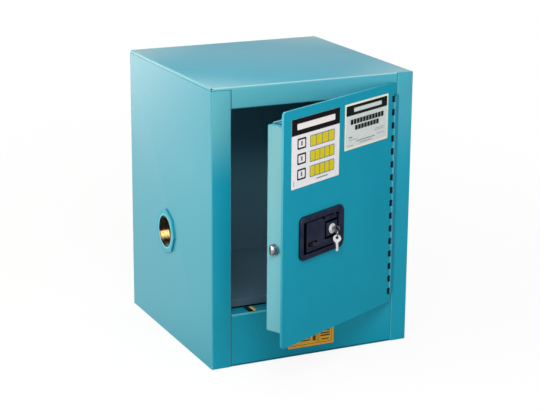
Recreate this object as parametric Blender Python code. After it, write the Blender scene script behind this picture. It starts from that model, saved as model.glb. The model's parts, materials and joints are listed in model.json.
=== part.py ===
# Counter-top safety cabinet with one double-walled door, shown partly open.
# Metres, +Z up. Origin: middle of the base on the ground; +X right, front faces -Y.
import math

import bmesh
import bpy
from mathutils import Matrix, Vector

for old in list(bpy.data.objects):
    bpy.data.objects.remove(old, do_unlink=True)

# Cabinet sizes
cabinet_width = 0.432
cabinet_depth = 0.432
cabinet_height = 0.559
sheet = 0.0012
seat_gap = 0.0003
air_space = 0.038
edge_bend = 0.0025
edge_soft_share = 0.4
rail_bend = 0.0035
lip_height = 0.005
lip_seam = 0.0006
overrun = 0.004

# Front frame
left_stile_width = 0.041
right_stile_width = 0.036
top_rail_height = 0.043
sill_height = 0.107
jamb_depth = 0.044
sill_depth = 0.038
rail_setback = 0.0006
rail_end_gap = 0.0005
sill_foot_depth = 0.024
corner_round = 0.008
sill_corner_round = 0.004
corner_relief_radius = 0.0013

# Door, measured from the hinge pin: u runs to the free edge, o runs to the back
door_open_degrees = 26.5
pin_inset = 0.0433
skin_side_lap = 0.0073
skin_head_lap = 0.025
skin_foot_lap = 0.019
skin_front = 0.0016
skin_corner = 0.007
hem_depth = 0.0035
hem_start = 0.009
hinge_ear = 0.003
door_thickness = 0.048
pan_overhang = 0.0135
pan_hinge_side = 0.016
pan_head_gap = 0.006
pan_foot_gap = 0.006
pan_bend = 0.002
pan_slot_length = 0.050
pan_slot_depth = 0.016
pan_slot_inset = 0.008
pan_lip_height = 0.0026
pan_lip_inset = 0.014
pan_lip_round_share = 0.9
pan_slot_round_share = 0.45

# Hinge
hinge_head_gap = 0.026
hinge_foot_gap = 0.017
knuckle_pitch = 0.01323
knuckle_radius = 0.0036
pin_radius = 0.0014
pin_clearance = 0.0003
knuckle_play = 0.0004
leaf_thickness = 0.0012
frame_leaf_width = 0.0116
door_leaf_width = 0.014
knuckle_sides = 12
pin_head_share = 0.12
knuckle_notch = 0.0055

# Round vents in the side walls
vent_back = 0.017
vent_height = 0.2195
vent_radius = 0.031
vent_flange_across = 0.088
vent_flange_thickness = 0.004
vent_flange_sides = 8
vent_flange_turn_degrees = 3.0
vent_ring_wall = 0.0035
vent_ring_depth = 0.030
arrester_thickness = 0.0025
cap_square = 0.022
cap_square_height = 0.009
vent_sides = 40

# Shelf
shelf_top = 0.103
shelf_edge = 0.014
shelf_play = 0.0025
shelf_depth = 0.300
shelf_front = 0.165
bracket_leg = 0.020
bracket_width = 0.022
bracket_inset = 0.035
bracket_thickness = 0.0015
bracket_bend_share = 1.6

# Handle set into the door
bezel_edge_gap = 0.048
bezel_width = 0.136
bezel_label_gap = 0.0585
bezel_height = 0.084
bezel_thickness = 0.005
bezel_corner = 0.011
bezel_slope = 0.002
rim_near = 0.0165
rim_far = 0.009
rim_high = 0.011
rim_low = 0.0095
cup_wall = 0.0025
cup_depth = 0.0245
cup_corner = 0.003
paddle_drop = 0.0016
paddle_thickness = 0.005
paddle_finger_gap = 0.0120
paddle_arm_gap = 0.0055
paddle_level_gap = 0.0028
paddle_round = 0.0015
paddle_notch = 0.0055
window_margin = 0.0065
window_level_margin = 0.0050
pivot_inset = 0.004
pivot_radius = 0.0015
pivot_bite = 0.0018
pivot_length = 0.009
pull_degrees = 20.0
staple_width = 0.020
staple_thickness = 0.003
staple_above = 0.0085
staple_hole = 0.0035
staple_slot_length = 0.027
staple_slot_height = 0.0085
staple_slot_round_share = 0.6
staple_near_share = 0.317
staple_level_share = 0.2515

# Lock
lock_block_inset = 0.0205
lock_block_width = 0.033
lock_block_height = 0.027
lock_inset = 0.0375
lock_rise = 0.043
lock_block_bevel = 0.0012
lock_ring_radius = 0.0098
lock_ring_height = 0.0012
lock_body_radius = 0.0085
lock_body_tail = 0.002
lock_plug_radius = 0.0062
lock_plug_proud = 0.0004
lock_play = 0.0004
lock_block_drop = 0.0012
plug_tail = 0.012
keyway_width = 0.0028
keyway_height = 0.0080
keyway_depth = 0.024
cam_round_share = 0.4
cam_length = 0.018
cam_width = 0.009
cam_thickness = 0.002
lock_sides = 32
lock_turn_degrees = 90.0

# Keys on a split ring
key_thickness = 0.0020
key_point_share = 0.25
key_bow_radius = 0.0076
key_blade_width = 0.0064
key_blade_length = 0.0165
key_neck = 0.0008
key_hole_radius = 0.0025
key_hole_inset = 0.0058
ring_hang_gap = 0.0008
ring_radius = 0.0070
ring_wire = 0.0006
ring_turn_degrees = 45.0
ring_sides = 24
ring_wire_sides = 6

# Latch behind the handle
bolt_rise = 0.026
bolt_back = 0.0285
bolt_head_radius = 0.0102
bolt_reach = 0.011
bolt_inner = 0.014
bolt_round = 0.004
bolt_bevel = 0.008
bolt_rod_radius = 0.0040
bolt_play = 0.0004
bolt_nose_share = 0.3
bolt_slope_share = 0.1
rod_wall_share = 1.6
guide_wall = 0.0035
guide_length = 0.009
bracket_plate = 0.003
bracket_inset_u = 0.075
tongue_thickness = 0.0025
tongue_width = 0.016
tongue_height = 0.016
lever_thickness = 0.003
lever_width = 0.008
lever_head_width = 0.012
lever_gap = 0.0029
lever_end = 0.005
lever_up = 0.017
lever_turn_degrees = 29.8
lever_play = 0.0004
lever_round_share = 0.8
lever_peg_radius = 0.0020
peg_slot_play = 0.0006
peg_rise = 0.0036
peg_round_share = 0.9
tail_radius = 0.0016
tail_slot_play = 0.0012
post_radius = 0.0025
post_rise = 0.049
strike_margin = 0.0035
strike_lap = 0.006

# Printed plates
label_thickness = 0.0004
label_corner = 0.001
door_label_near = 0.185
door_label_width = 0.147
door_label_height = 0.131
door_label_drop = 0.018
door_plate_near = 0.0245
door_plate_width = 0.1435
door_plate_height = 0.0895
door_plate_drop = 0.0175
sill_label_left = -0.051
sill_label_width = 0.101
sill_label_height = 0.050
sill_label_base = 0.017
sill_tag_side_gap = 0.081
sill_tag_width = 0.018
sill_tag_depth = 0.027
sill_tag_inset = 0.005

# Ground screw on the right side
ground_rear_gap = 0.066
ground_level = 0.060
ground_boss_radius = 0.008
ground_boss_length = 0.004
ground_hex_across = 0.010
ground_hex_length = 0.006

# Values that follow from the sizes above
half_width = cabinet_width / 2
half_depth = cabinet_depth / 2
front_y = -half_depth
open_left = -half_width + left_stile_width
open_right = half_width - right_stile_width
open_top = cabinet_height - top_rail_height
side_top = cabinet_height - lip_height - lip_seam
pin_x = half_width - pin_inset
pin_y = front_y - seat_gap - knuckle_radius
skin_width = pin_x - open_left + skin_side_lap
skin_top = open_top + skin_head_lap
skin_bottom = sill_height - skin_foot_lap
hinge_base = skin_bottom + hinge_foot_gap
hinge_top = skin_top - hinge_head_gap
hinge_height = hinge_top - hinge_base
knuckle_pairs = round((hinge_height / knuckle_pitch - 1) / 2)
knuckle_count = knuckle_pairs + knuckle_pairs + 1
knuckle_length = hinge_height / knuckle_count
bezel_far = skin_width - bezel_edge_gap
bezel_near = bezel_far - bezel_width
door_label_top = skin_top - door_label_drop
door_plate_top = skin_top - door_plate_drop
bezel_high = door_label_top - door_label_height - bezel_label_gap
bezel_low = bezel_high - bezel_height
lock_block_near = bezel_near + lock_block_inset
lock_u = bezel_near + lock_inset
lock_level = bezel_low + lock_rise
bolt_level = bezel_low + bolt_rise
bracket_u = bezel_near + bracket_inset_u
post_level = bezel_low + post_rise
skin_back = skin_front - sheet
pan_front = -skin_back + seat_gap
pan_back = door_thickness - skin_front
pan_far = skin_width - pan_overhang
pan_top = open_top - pan_head_gap
pan_bottom = sill_height + pan_foot_gap


def paint(name, color, roughness, metallic=0.0):
    material = bpy.data.materials.new(name)
    material.use_nodes = True
    shader = material.node_tree.nodes["Principled BSDF"]
    shader.inputs["Base Color"].default_value = (*color, 1.0)
    shader.inputs["Roughness"].default_value = roughness
    shader.inputs["Metallic"].default_value = metallic
    return material


teal_paint = paint("teal_powder_coat", (0.030, 0.260, 0.350), 0.42)
black_plastic = paint("black_moulded_plastic", (0.022, 0.024, 0.036), 0.48)
bright_steel = paint("plated_steel", (0.62, 0.62, 0.64), 0.28, 1.0)
dark_steel = paint("dark_steel", (0.16, 0.16, 0.17), 0.35, 1.0)
brass = paint("brass", (0.72, 0.52, 0.24), 0.32, 1.0)
label_print = paint("printed_label", (0.80, 0.79, 0.74), 0.45)
amber_print = paint("amber_label", (0.85, 0.45, 0.06), 0.45)


# An empty that carries pieces, at a joint
def carrier(name, place=(0, 0, 0), turn=0.0, parent=None):
    empty = bpy.data.objects.new(name, None)
    bpy.context.scene.collection.objects.link(empty)
    empty.location = place
    empty.rotation_euler = (0, 0, turn)
    empty.parent = parent
    return empty


door_turn = carrier("door_turn", (pin_x, pin_y, 0), math.radians(door_open_degrees))


def piece(name, bm, material, parent=None, origin=(0, 0, 0)):
    bmesh.ops.recalc_face_normals(bm, faces=bm.faces)
    mesh = bpy.data.meshes.new(name)
    bm.to_mesh(mesh)
    bm.free()
    mesh.transform(Matrix.Translation(-Vector(origin)))
    mesh.materials.append(material)
    mesh.shade_smooth()
    mesh.set_sharp_from_angle(angle=math.radians(35))
    item = bpy.data.objects.new(name, mesh)
    bpy.context.scene.collection.objects.link(item)
    item.parent = parent
    item.location = origin
    return item


# A block between two corners
def block(low, high):
    bm = bmesh.new()
    bmesh.ops.create_cube(bm, size=1.0)
    low, high = Vector(low), Vector(high)
    span = high - low
    bmesh.ops.scale(bm, vec=span, verts=bm.verts)
    bmesh.ops.translate(bm, vec=(low + high) / 2, verts=bm.verts)
    return bm


# Corners of a flat outline, each rounded by its own radius
def rounded(points, radii, steps=4):
    out = []
    count = len(points)
    for i, point in enumerate(points):
        radius = radii[i]
        here = Vector(point)
        if radius <= 0:
            out.append(here)
            continue
        back = (Vector(points[i - 1]) - here).normalized()
        ahead = (Vector(points[(i + 1) % count]) - here).normalized()
        half = math.acos(max(-1.0, min(1.0, back.dot(ahead)))) / 2
        reach = radius / math.tan(half)
        centre = here + (back + ahead).normalized() * (radius / math.sin(half))
        start = here + back * reach - centre
        end = here + ahead * reach - centre
        sweep = math.atan2(start.x * end.y - start.y * end.x, start.dot(end))
        for k in range(steps + 1):
            angle = sweep * k / steps
            turned = Matrix.Rotation(angle, 2) @ start
            out.append(centre + turned)
    return out


# A flat outline pushed along one axis. plane names the two axes of the outline.
def prism(points, plane, low, high):
    axes = {"xy": (0, 1, 2), "xz": (0, 2, 1), "yz": (1, 2, 0)}[plane]
    bm = bmesh.new()
    rings = []
    for level in (low, high):
        ring = []
        for point in points:
            spot = [0.0, 0.0, 0.0]
            spot[axes[0]], spot[axes[1]], spot[axes[2]] = point[0], point[1], level
            ring.append(bm.verts.new(spot))
        rings.append(ring)
    count = len(points)
    bm.faces.new(rings[0])
    bm.faces.new(list(reversed(rings[1])))
    for i in range(count):
        j = (i + 1) % count
        bm.faces.new((rings[0][i], rings[1][i], rings[1][j], rings[0][j]))
    return bm


def plate_outline(left, bottom, right, top, radius, steps=4):
    corners = [(left, bottom), (right, bottom), (right, top), (left, top)]
    return rounded(corners, [radius] * len(corners), steps)


# Sheet bent along a path: outer is the visible side, inside lies on the given hand
def bent_outline(path, thickness, bend, hand, steps=4):
    path = [Vector(p) for p in path]
    inner = []
    for i, point in enumerate(path):
        sides = []
        if i > 0:
            sides.append((point - path[i - 1]).normalized())
        if i < len(path) - 1:
            sides.append((path[i + 1] - point).normalized())
        normals = [Vector((-s.y, s.x)) * hand for s in sides]
        if len(normals) == 1:
            inner.append(point + normals[0] * thickness)
        else:
            mid = (normals[0] + normals[1]).normalized()
            inner.append(point + mid * (thickness / mid.dot(normals[0])))
    bends = [0.0] + [bend] * (len(path) - 2) + [0.0]
    tight = [max(b - thickness, 0.0) for b in bends]
    return rounded(path + inner[::-1], bends + tight[::-1], steps)


# A round bar along an axis, from a list of (distance along, radius)
def turned(profile, axis, centre, sides, phase=0.0):
    basis = {"x": (Vector((1, 0, 0)), Vector((0, 1, 0)), Vector((0, 0, 1))),
             "y": (Vector((0, 1, 0)), Vector((0, 0, 1)), Vector((1, 0, 0))),
             "z": (Vector((0, 0, 1)), Vector((1, 0, 0)), Vector((0, 1, 0)))}[axis]
    along, across, up = basis
    centre = Vector(centre)
    bm = bmesh.new()
    rings = []
    for distance, radius in profile:
        ring = []
        for k in range(sides):
            angle = phase + math.tau * k / sides
            spoke = across * math.cos(angle) + up * math.sin(angle)
            ring.append(bm.verts.new(centre + along * distance + spoke * radius))
        rings.append(ring)
    for first, second in zip(rings, rings[1:]):
        for k in range(sides):
            j = (k + 1) % sides
            bm.faces.new((first[k], first[j], second[j], second[k]))
    bm.faces.new(rings[0])
    bm.faces.new(list(reversed(rings[-1])))
    return bm


# A ring: the outer profile out and back through the bore
def tube(start, end, outer, inner, axis, centre, sides, phase=0.0):
    bm = turned([(start, outer), (end, outer), (end, inner), (start, inner)],
                axis, centre, sides, phase)
    ends = [face for face in bm.faces if len(face.verts) == sides]
    bmesh.ops.delete(bm, geom=ends, context="FACES_ONLY")
    count = sides
    bm.verts.ensure_lookup_table()
    for k in range(count):
        j = (k + 1) % count
        last = 3 * count
        bm.faces.new((bm.verts[last + k], bm.verts[last + j], bm.verts[j], bm.verts[k]))
    return bm


def round_edges(bm, pick, width, steps=2):
    edges = [edge for edge in bm.edges if pick(edge)]
    bmesh.ops.bevel(bm, geom=edges, offset=width, segments=steps, affect="EDGES",
                    profile=0.5, clamp_overlap=True)
    return bm


def boolean(item, others, operation):
    for bm in others:
        bmesh.ops.recalc_face_normals(bm, faces=bm.faces)
        mesh = bpy.data.meshes.new("cutter")
        bm.to_mesh(mesh)
        bm.free()
        tool = bpy.data.objects.new("cutter", mesh)
        bpy.context.scene.collection.objects.link(tool)
        tool.parent = item.parent
        tool.hide_render = True
        tool.display_type = "WIRE"
        step = item.modifiers.new("cut", "BOOLEAN")
        step.operation = operation
        step.solver = "EXACT"
        step.object = tool
        bpy.context.view_layer.update()
        result = bpy.data.meshes.new_from_object(
            item.evaluated_get(bpy.context.evaluated_depsgraph_get()))
        item.modifiers.clear()
        old, item.data = item.data, result
        bpy.data.meshes.remove(old)
        bpy.data.objects.remove(tool, do_unlink=True)
        bpy.data.meshes.remove(mesh)
    item.data.shade_smooth()
    item.data.set_sharp_from_angle(angle=math.radians(35))
    return item


def cut(item, *tools):
    return boolean(item, tools, "DIFFERENCE")


def join(item, *tools):
    return boolean(item, tools, "UNION")


# Side walls, each folded round into a front stile and its jamb
def quarter_cutter(corner, inward, radius, low, high, steps=6):
    cx, cz = corner
    sx, sz = inward
    centre = Vector((cx + sx * radius, cz + sz * radius))
    beyond = radius * 0.5
    points = [(cx - sx * beyond, cz - sz * beyond), (centre.x, cz - sz * beyond)]
    for k in range(steps + 1):
        angle = math.pi / 2 * k / steps
        points.append((centre.x - sx * radius * math.sin(angle),
                       centre.y - sz * radius * math.cos(angle)))
    points.append((cx - sx * beyond, centre.y))
    return prism(points, "xz", low, high)


wall_back = half_depth - sheet - seat_gap
left_path = [(-half_width, wall_back), (-half_width, front_y), (open_left, front_y),
             (open_left, front_y + jamb_depth)]
left_side = piece("left_side_panel",
                  prism(bent_outline(left_path, sheet, edge_bend, 1), "xy", 0, side_top), teal_paint)
right_path = [(half_width, wall_back), (half_width, front_y), (open_right, front_y),
              (open_right, front_y + jamb_depth)]
right_side = piece("right_side_panel",
                   prism(bent_outline(right_path, sheet, edge_bend, -1), "xy", 0, cabinet_height),
                   teal_paint)
tab_back = front_y + sheet + seat_gap
cut(right_side,
    block((open_right - overrun, tab_back - seat_gap, side_top),
          (half_width + overrun, half_depth, cabinet_height + overrun)),
    quarter_cutter((half_width, cabinet_height), (-1, -1), corner_round,
                   front_y - overrun, front_y + overrun))


def vent_hole(x, radius, reach):
    return turned([(-reach, radius), (reach, radius)], "x", (x, vent_back, vent_height), vent_sides)


cut(left_side, vent_hole(-half_width, vent_radius, overrun))
cut(right_side, vent_hole(half_width, vent_radius, overrun))

# The bolt's pocket in the left jamb
closed_bolt_y = pin_y + bolt_back
strike_half = bolt_head_radius + strike_margin
strike_low = bolt_level - strike_half
strike_high = bolt_level + strike_half
strike_front = closed_bolt_y - bolt_head_radius - strike_margin / 2
strike_rear = closed_bolt_y + bolt_head_radius + strike_margin / 2
cut(left_side, block((open_left - overrun, strike_front, strike_low),
                     (open_left + overrun, strike_rear, strike_high)))
strike_plate_x = open_left - sheet - seat_gap
strike = piece("strike_plate",
               block((strike_plate_x - sheet, strike_front - strike_lap / 2, strike_low - strike_lap),
                     (strike_plate_x, strike_rear + strike_lap / 2, strike_high + strike_lap)),
               bright_steel)
cut(strike, block((strike_plate_x - overrun, strike_front, strike_low),
                  (strike_plate_x + overrun, strike_rear, strike_high)))

# Top panel: a pressed lid whose front edge is the top rail
rail_y = front_y + rail_setback
rail_left = open_left + rail_end_gap
rail_right = open_right - rail_end_gap
lid_bm = block((-half_width, rail_y, open_top), (half_width, half_depth, cabinet_height))
top_level = cabinet_height


def upper_rim(edge):
    return all(v.co.z > top_level - sheet for v in edge.verts)


def upright(edge):
    return abs(edge.verts[0].co.z - edge.verts[1].co.z) > sheet


round_edges(lid_bm, lambda e: upper_rim(e) or upright(e), edge_bend, 3)
lid = piece("top_panel", lid_bm, teal_paint)
hollow_bm = block((-half_width + sheet, rail_y + sheet, open_top - overrun),
                  (half_width - sheet, half_depth - sheet, cabinet_height - sheet))
hollow_top = cabinet_height - sheet
round_edges(hollow_bm, lambda e: all(v.co.z > hollow_top - sheet for v in e.verts) or upright(e),
            edge_bend - sheet, 3)
lip_base = cabinet_height - lip_height
cut(lid, hollow_bm,
    block((-half_width - overrun, rail_y - overrun, open_top - overrun),
          (rail_left, half_depth + overrun, lip_base)),
    block((rail_right, rail_y - overrun, open_top - overrun),
          (half_width + overrun, half_depth + overrun, lip_base)),
    block((rail_left - overrun, front_y + overrun, open_top - overrun),
          (rail_right + overrun, half_depth + overrun, lip_base)),
    block((rail_right, front_y - overrun, lip_base - overrun),
          (half_width + overrun, tab_back, cabinet_height + overrun)))
relief_level = cabinet_height - edge_bend
relief = turned([(-overrun, corner_relief_radius), (overrun, corner_relief_radius)], "z",
                (-half_width + sheet / 2, rail_y + sheet / 2, relief_level), 10)
cut(lid, relief)
lintel = block((rail_left, rail_y + sheet / 2, open_top),
               (rail_right, front_y + jamb_depth, open_top + sheet))
join(lid, lintel)
cut(lid, prism([(rail_y - overrun, open_top - overrun), (rail_y + rail_bend, open_top - overrun)]
               + [(rail_y + rail_bend - rail_bend * math.sin(math.pi / 2 * k / 5),
                   open_top + rail_bend - rail_bend * math.cos(math.pi / 2 * k / 5))
                  for k in range(6)] + [(rail_y - overrun, open_top + rail_bend)],
               "yz", rail_left - overrun, rail_right + overrun))

# Back, base and the boxed sill
piece("back_panel",
      round_edges(block((-half_width, half_depth - sheet, 0), (half_width, half_depth, side_top)),
                  lambda e: abs(e.verts[0].co.z - e.verts[1].co.z) > sheet, sheet * edge_soft_share, 1),
      teal_paint)
base_side = half_width - sheet - seat_gap
base_front = front_y + sheet + seat_gap
base_notch = front_y + jamb_depth + seat_gap
base_outline = [(-base_side, wall_back), (-base_side, base_notch), (rail_left, base_notch),
                (rail_left, base_front), (rail_right, base_front), (rail_right, base_notch),
                (base_side, base_notch), (base_side, wall_back)]
piece("base_panel", prism(base_outline, "xy", 0, sheet), teal_paint)
sill_base = sheet + seat_gap
floor_top = sheet + air_space + sheet
sill_path = [(rail_y + sill_foot_depth, sill_base), (rail_y, sill_base), (rail_y, sill_height),
             (front_y + sill_depth, sill_height), (front_y + sill_depth, floor_top + seat_gap)]
sill = piece("sill_rail",
             prism(bent_outline(sill_path, sheet, rail_bend, -1), "yz", rail_left, rail_right),
             teal_paint)
cut(sill, quarter_cutter((rail_left, sill_height), (1, -1), sill_corner_round,
                         front_y - overrun, front_y + sill_depth / 3))

# Inner box, a second skin behind an air space
liner_front = front_y + jamb_depth + seat_gap
liner_back = half_depth - sheet - air_space - sheet
liner_low = floor_top + seat_gap
liner_high = open_top + sheet
floor_front = front_y + sill_foot_depth
floor_base = floor_top - sheet
floor_left = open_left - sheet
floor_right = open_right + sheet
floor_rear = liner_back + sheet
floor_outline = [(floor_left, floor_rear), (floor_left, liner_front), (rail_left, liner_front),
                 (rail_left, floor_front), (rail_right, floor_front), (rail_right, liner_front),
                 (floor_right, liner_front), (floor_right, floor_rear)]
piece("liner_floor", prism(floor_outline, "xy", floor_base, floor_top), teal_paint)
piece("liner_top", block((open_left - sheet, liner_front, open_top),
                         (open_right + sheet, liner_back + sheet, liner_high)), teal_paint)
wall_high = open_top - seat_gap
liner_left = piece("liner_left", block((open_left - sheet, liner_front, liner_low),
                                       (open_left, liner_back - seat_gap, wall_high)), teal_paint)
liner_right = piece("liner_right", block((open_right, liner_front, liner_low),
                                         (open_right + sheet, liner_back - seat_gap, wall_high)),
                    teal_paint)
piece("liner_back", block((open_left - sheet, liner_back, liner_low),
                          (open_right + sheet, liner_back + sheet, wall_high)), teal_paint)
cut(liner_left, vent_hole(open_left, vent_radius - vent_ring_wall, overrun))
cut(liner_right, vent_hole(open_right, vent_radius - vent_ring_wall, overrun))

# Vents: a painted flange, a brass ring in the air space and a flame screen
flange_inner = vent_radius - seat_gap


def vent(side, wall_x, inner_x):
    name = "left" if side < 0 else "right"
    middle = (0, vent_back, vent_height)
    step = math.tau / vent_flange_sides
    corner = vent_flange_across / 2 / math.cos(step / 2)
    start = wall_x + side * seat_gap
    flange = piece(f"{name}_vent_flange",
                   turned(sorted([(start, corner), (start + side * vent_flange_thickness, corner)]),
                          "x", middle, vent_flange_sides,
                          math.radians(vent_flange_turn_degrees)), teal_paint)
    cut(flange, turned([(wall_x - overrun * 2, vent_radius), (wall_x + overrun * 2, vent_radius)],
                       "x", middle, vent_sides))
    ring_end = wall_x + side * vent_flange_thickness / 2
    ring_start = inner_x + side * (sheet + seat_gap)
    low, high = sorted((ring_start, ring_end))
    piece(f"{name}_vent_ring",
          tube(low, high, flange_inner, vent_radius - vent_ring_wall, "x", middle, vent_sides), brass)
    screen = sorted((ring_start + side * seat_gap,
                     ring_start + side * (seat_gap + arrester_thickness)))
    fit = vent_radius - vent_ring_wall - seat_gap
    piece(f"{name}_flame_screen", turned([(screen[0], fit), (screen[1], fit)], "x", middle,
                                         vent_sides), brass)
    return fit


plug_fit = vent(-1, -half_width, open_left)
vent(1, half_width, open_right)
cap_in = half_width - vent_ring_depth / 2
cap_face = half_width + vent_flange_thickness + seat_gap
cap = piece("right_vent_cap",
            turned([(cap_in, plug_fit), (cap_face, plug_fit),
                    (cap_face + vent_flange_thickness / 2, plug_fit - vent_ring_wall)],
                   "x", (0, vent_back, vent_height), vent_sides),
            brass, origin=(cap_face, vent_back, vent_height))
cap_head = cap_square / 2
join(cap, block((cap_face, vent_back - cap_head, vent_height - cap_head),
                (cap_face + cap_square_height, vent_back + cap_head, vent_height + cap_head)))

# Shelf on four brackets
shelf_left = open_left + shelf_play
shelf_right = open_right - shelf_play
shelf_rear = liner_back - shelf_play
shelf_face = shelf_rear - shelf_depth
shelf_low = shelf_top - shelf_edge
shelf = piece("shelf", block((shelf_left, shelf_face, shelf_low),
                             (shelf_right, shelf_rear, shelf_top)), teal_paint)
cut(shelf, block((shelf_left + sheet, shelf_face + sheet, shelf_low - overrun),
                 (shelf_right - sheet, shelf_rear - sheet, shelf_top - sheet)))
seat_level = shelf_low - seat_gap


def shelf_bracket(name, wall, side, back):
    inner = wall + side * seat_gap
    path = [(inner, seat_level - bracket_leg), (inner, seat_level),
            (inner + side * bracket_leg, seat_level)]
    outline = bent_outline(path, bracket_thickness, bracket_thickness * bracket_bend_share, -side)
    piece(name, prism(outline, "xz", back, back + bracket_width), bright_steel)


front_bracket = shelf_face + bracket_inset
rear_bracket = shelf_rear - bracket_inset - bracket_width
for row, back in (("front", front_bracket), ("rear", rear_bracket)):
    shelf_bracket(f"shelf_bracket_{row}_left", open_left, 1, back)
    shelf_bracket(f"shelf_bracket_{row}_right", open_right, -1, back)

# Continuous hinge: knuckles in turn belong to the frame leaf and the door leaf
pin_bore = pin_radius + pin_clearance
leaf_start = knuckle_radius + knuckle_play
leaf_face = pin_y + knuckle_radius - leaf_thickness


def knuckle_span(index):
    low = hinge_base + knuckle_length * index
    return low + seat_gap / 2, low + knuckle_length - seat_gap / 2


frame_leaf = piece("hinge_frame_leaf",
                   block((pin_x + leaf_start, leaf_face, hinge_base),
                         (pin_x + frame_leaf_width, leaf_face + leaf_thickness, hinge_top)),
                   teal_paint)
door_leaf_front = -skin_back + seat_gap
door_leaf = piece("hinge_door_leaf",
                  block((-door_leaf_width, door_leaf_front, hinge_base),
                        (-leaf_start, door_leaf_front + leaf_thickness, hinge_top)),
                  teal_paint, door_turn)


def knuckle(centre, low, high):
    return turned([(low, knuckle_radius), (high, knuckle_radius)], "z", centre, knuckle_sides,
                  math.pi / knuckle_sides)


for index in range(knuckle_count):
    low, high = knuckle_span(index)
    if index % 2 == 0:
        join(frame_leaf, knuckle((pin_x, pin_y, 0), low, high),
             block((pin_x, leaf_face, low), (pin_x + leaf_start + pin_radius,
                                             leaf_face + leaf_thickness, high)))
    else:
        join(door_leaf, knuckle((0, 0, 0), low, high),
             block((-leaf_start - pin_radius, door_leaf_front, low),
                   (-pin_radius, door_leaf_front + leaf_thickness, high)))
bore = [(hinge_base - overrun, pin_bore), (hinge_top + overrun, pin_bore)]
frame_spans = [knuckle_span(index) for index in range(0, knuckle_count, 2)]


# Openings beside the frame leaf's knuckles, in the door's leaf and again in its skin
def knuckle_notches(front, back):
    return [block((-leaf_start - knuckle_notch, front, low), (-leaf_start + overrun, back, high))
            for low, high in frame_spans]


leaf_back = door_leaf_front + leaf_thickness
cut(frame_leaf, turned(bore, "z", (pin_x, pin_y, 0), knuckle_sides))
cut(door_leaf, turned(bore, "z", (0, 0, 0), knuckle_sides),
    *knuckle_notches(door_leaf_front - overrun, leaf_back + overrun))
pin_head = knuckle_length * pin_head_share
piece("hinge_pin", turned([(hinge_base - pin_head, pin_radius), (hinge_top + pin_head, pin_radius)],
                          "z", (pin_x, pin_y, 0), knuckle_sides), dark_steel)

# Printed plates on the sill
label_y = rail_y - seat_gap
sill_outline = plate_outline(sill_label_left, sill_label_base, sill_label_left + sill_label_width,
                             sill_label_base + sill_label_height, label_corner)
piece("sill_label", prism(sill_outline, "xz", label_y - label_thickness, label_y), amber_print)
sill_tag_left = -half_width + sill_tag_side_gap
tag_front = front_y + sill_tag_inset
tag_outline = plate_outline(sill_tag_left, tag_front, sill_tag_left + sill_tag_width,
                            tag_front + sill_tag_depth, label_corner)
tag_z = sill_height + seat_gap
piece("sill_tag", prism(tag_outline, "xy", tag_z, tag_z + label_thickness), amber_print)

# Ground screw
ground_place = (half_width, half_depth - ground_rear_gap, ground_level)
boss_start = seat_gap
boss_end = boss_start + ground_boss_length
screw = piece("ground_screw", turned([(boss_start, ground_boss_radius),
                                      (boss_end, ground_boss_radius)],
                                     "x", ground_place, vent_sides // 2), brass)
hex_radius = ground_hex_across / math.sqrt(3)
join(screw, turned([(boss_end - sheet, hex_radius), (boss_end + ground_hex_length, hex_radius)],
                   "x", ground_place, 6))

# Door skin with ears over and under the hinge and a hem on its three free edges
notch_low = hinge_base - pin_head - knuckle_play
notch_high = hinge_top + pin_head + knuckle_play
hem_back = -skin_back + hem_depth
skin_points = [(-skin_width, skin_bottom), (hinge_ear, skin_bottom), (hinge_ear, notch_low),
               (-leaf_start, notch_low), (-leaf_start, notch_high), (hinge_ear, notch_high),
               (hinge_ear, skin_top), (-skin_width, skin_top)]
ear_round = hinge_ear
skin_radii = [skin_corner, ear_round, 0, 0, 0, 0, ear_round, skin_corner]
skin = piece("door_skin", prism(rounded(skin_points, skin_radii), "xz", -skin_front, hem_back),
             teal_paint, door_turn)
pocket = plate_outline(-skin_width + sheet, skin_bottom + sheet, hinge_ear + skin_corner,
                       skin_top - sheet, skin_corner - sheet)
cut(skin, prism(pocket, "xz", -skin_back, hem_back + overrun),
    block((-hem_start, -skin_back, skin_bottom - overrun),
          (hinge_ear + overrun, hem_back + overrun, skin_top + overrun)),
    *knuckle_notches(-skin_front - overrun, -skin_back + overrun))

# Handle: a rim on the skin and a cup through it
flange_back = -skin_front - seat_gap
flange_front = flange_back - bezel_thickness
recess_near = bezel_near + rim_near
recess_far = bezel_far - rim_far
recess_low = bezel_low + rim_low
recess_high = bezel_high - rim_high
cup_inner = flange_front + cup_depth
cup_outer = cup_inner + cup_wall
cut(skin, prism(plate_outline(-recess_far - cup_wall - seat_gap, recess_low - cup_wall - seat_gap,
                              -recess_near + cup_wall + seat_gap, recess_high + cup_wall + seat_gap,
                              cup_corner + cup_wall), "xz", -skin_front - overrun, hem_back))
rim = prism(plate_outline(-bezel_far, bezel_low, -bezel_near, bezel_high, bezel_corner, 8), "xz",
            flange_front, flange_back)
face_y = flange_front
round_edges(rim, lambda e: all(v.co.y < face_y + sheet / 2 for v in e.verts), bezel_slope, 3)
bezel = piece("handle_bezel", rim, black_plastic, door_turn)
join(bezel, prism(plate_outline(-recess_far - cup_wall, recess_low - cup_wall,
                                -recess_near + cup_wall, recess_high + cup_wall,
                                cup_corner + cup_wall), "xz", flange_back - sheet, cup_outer))
cut(bezel, prism(plate_outline(-recess_far, recess_low, -recess_near, recess_high, cup_corner),
                 "xz", flange_front - overrun, cup_inner))

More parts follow.
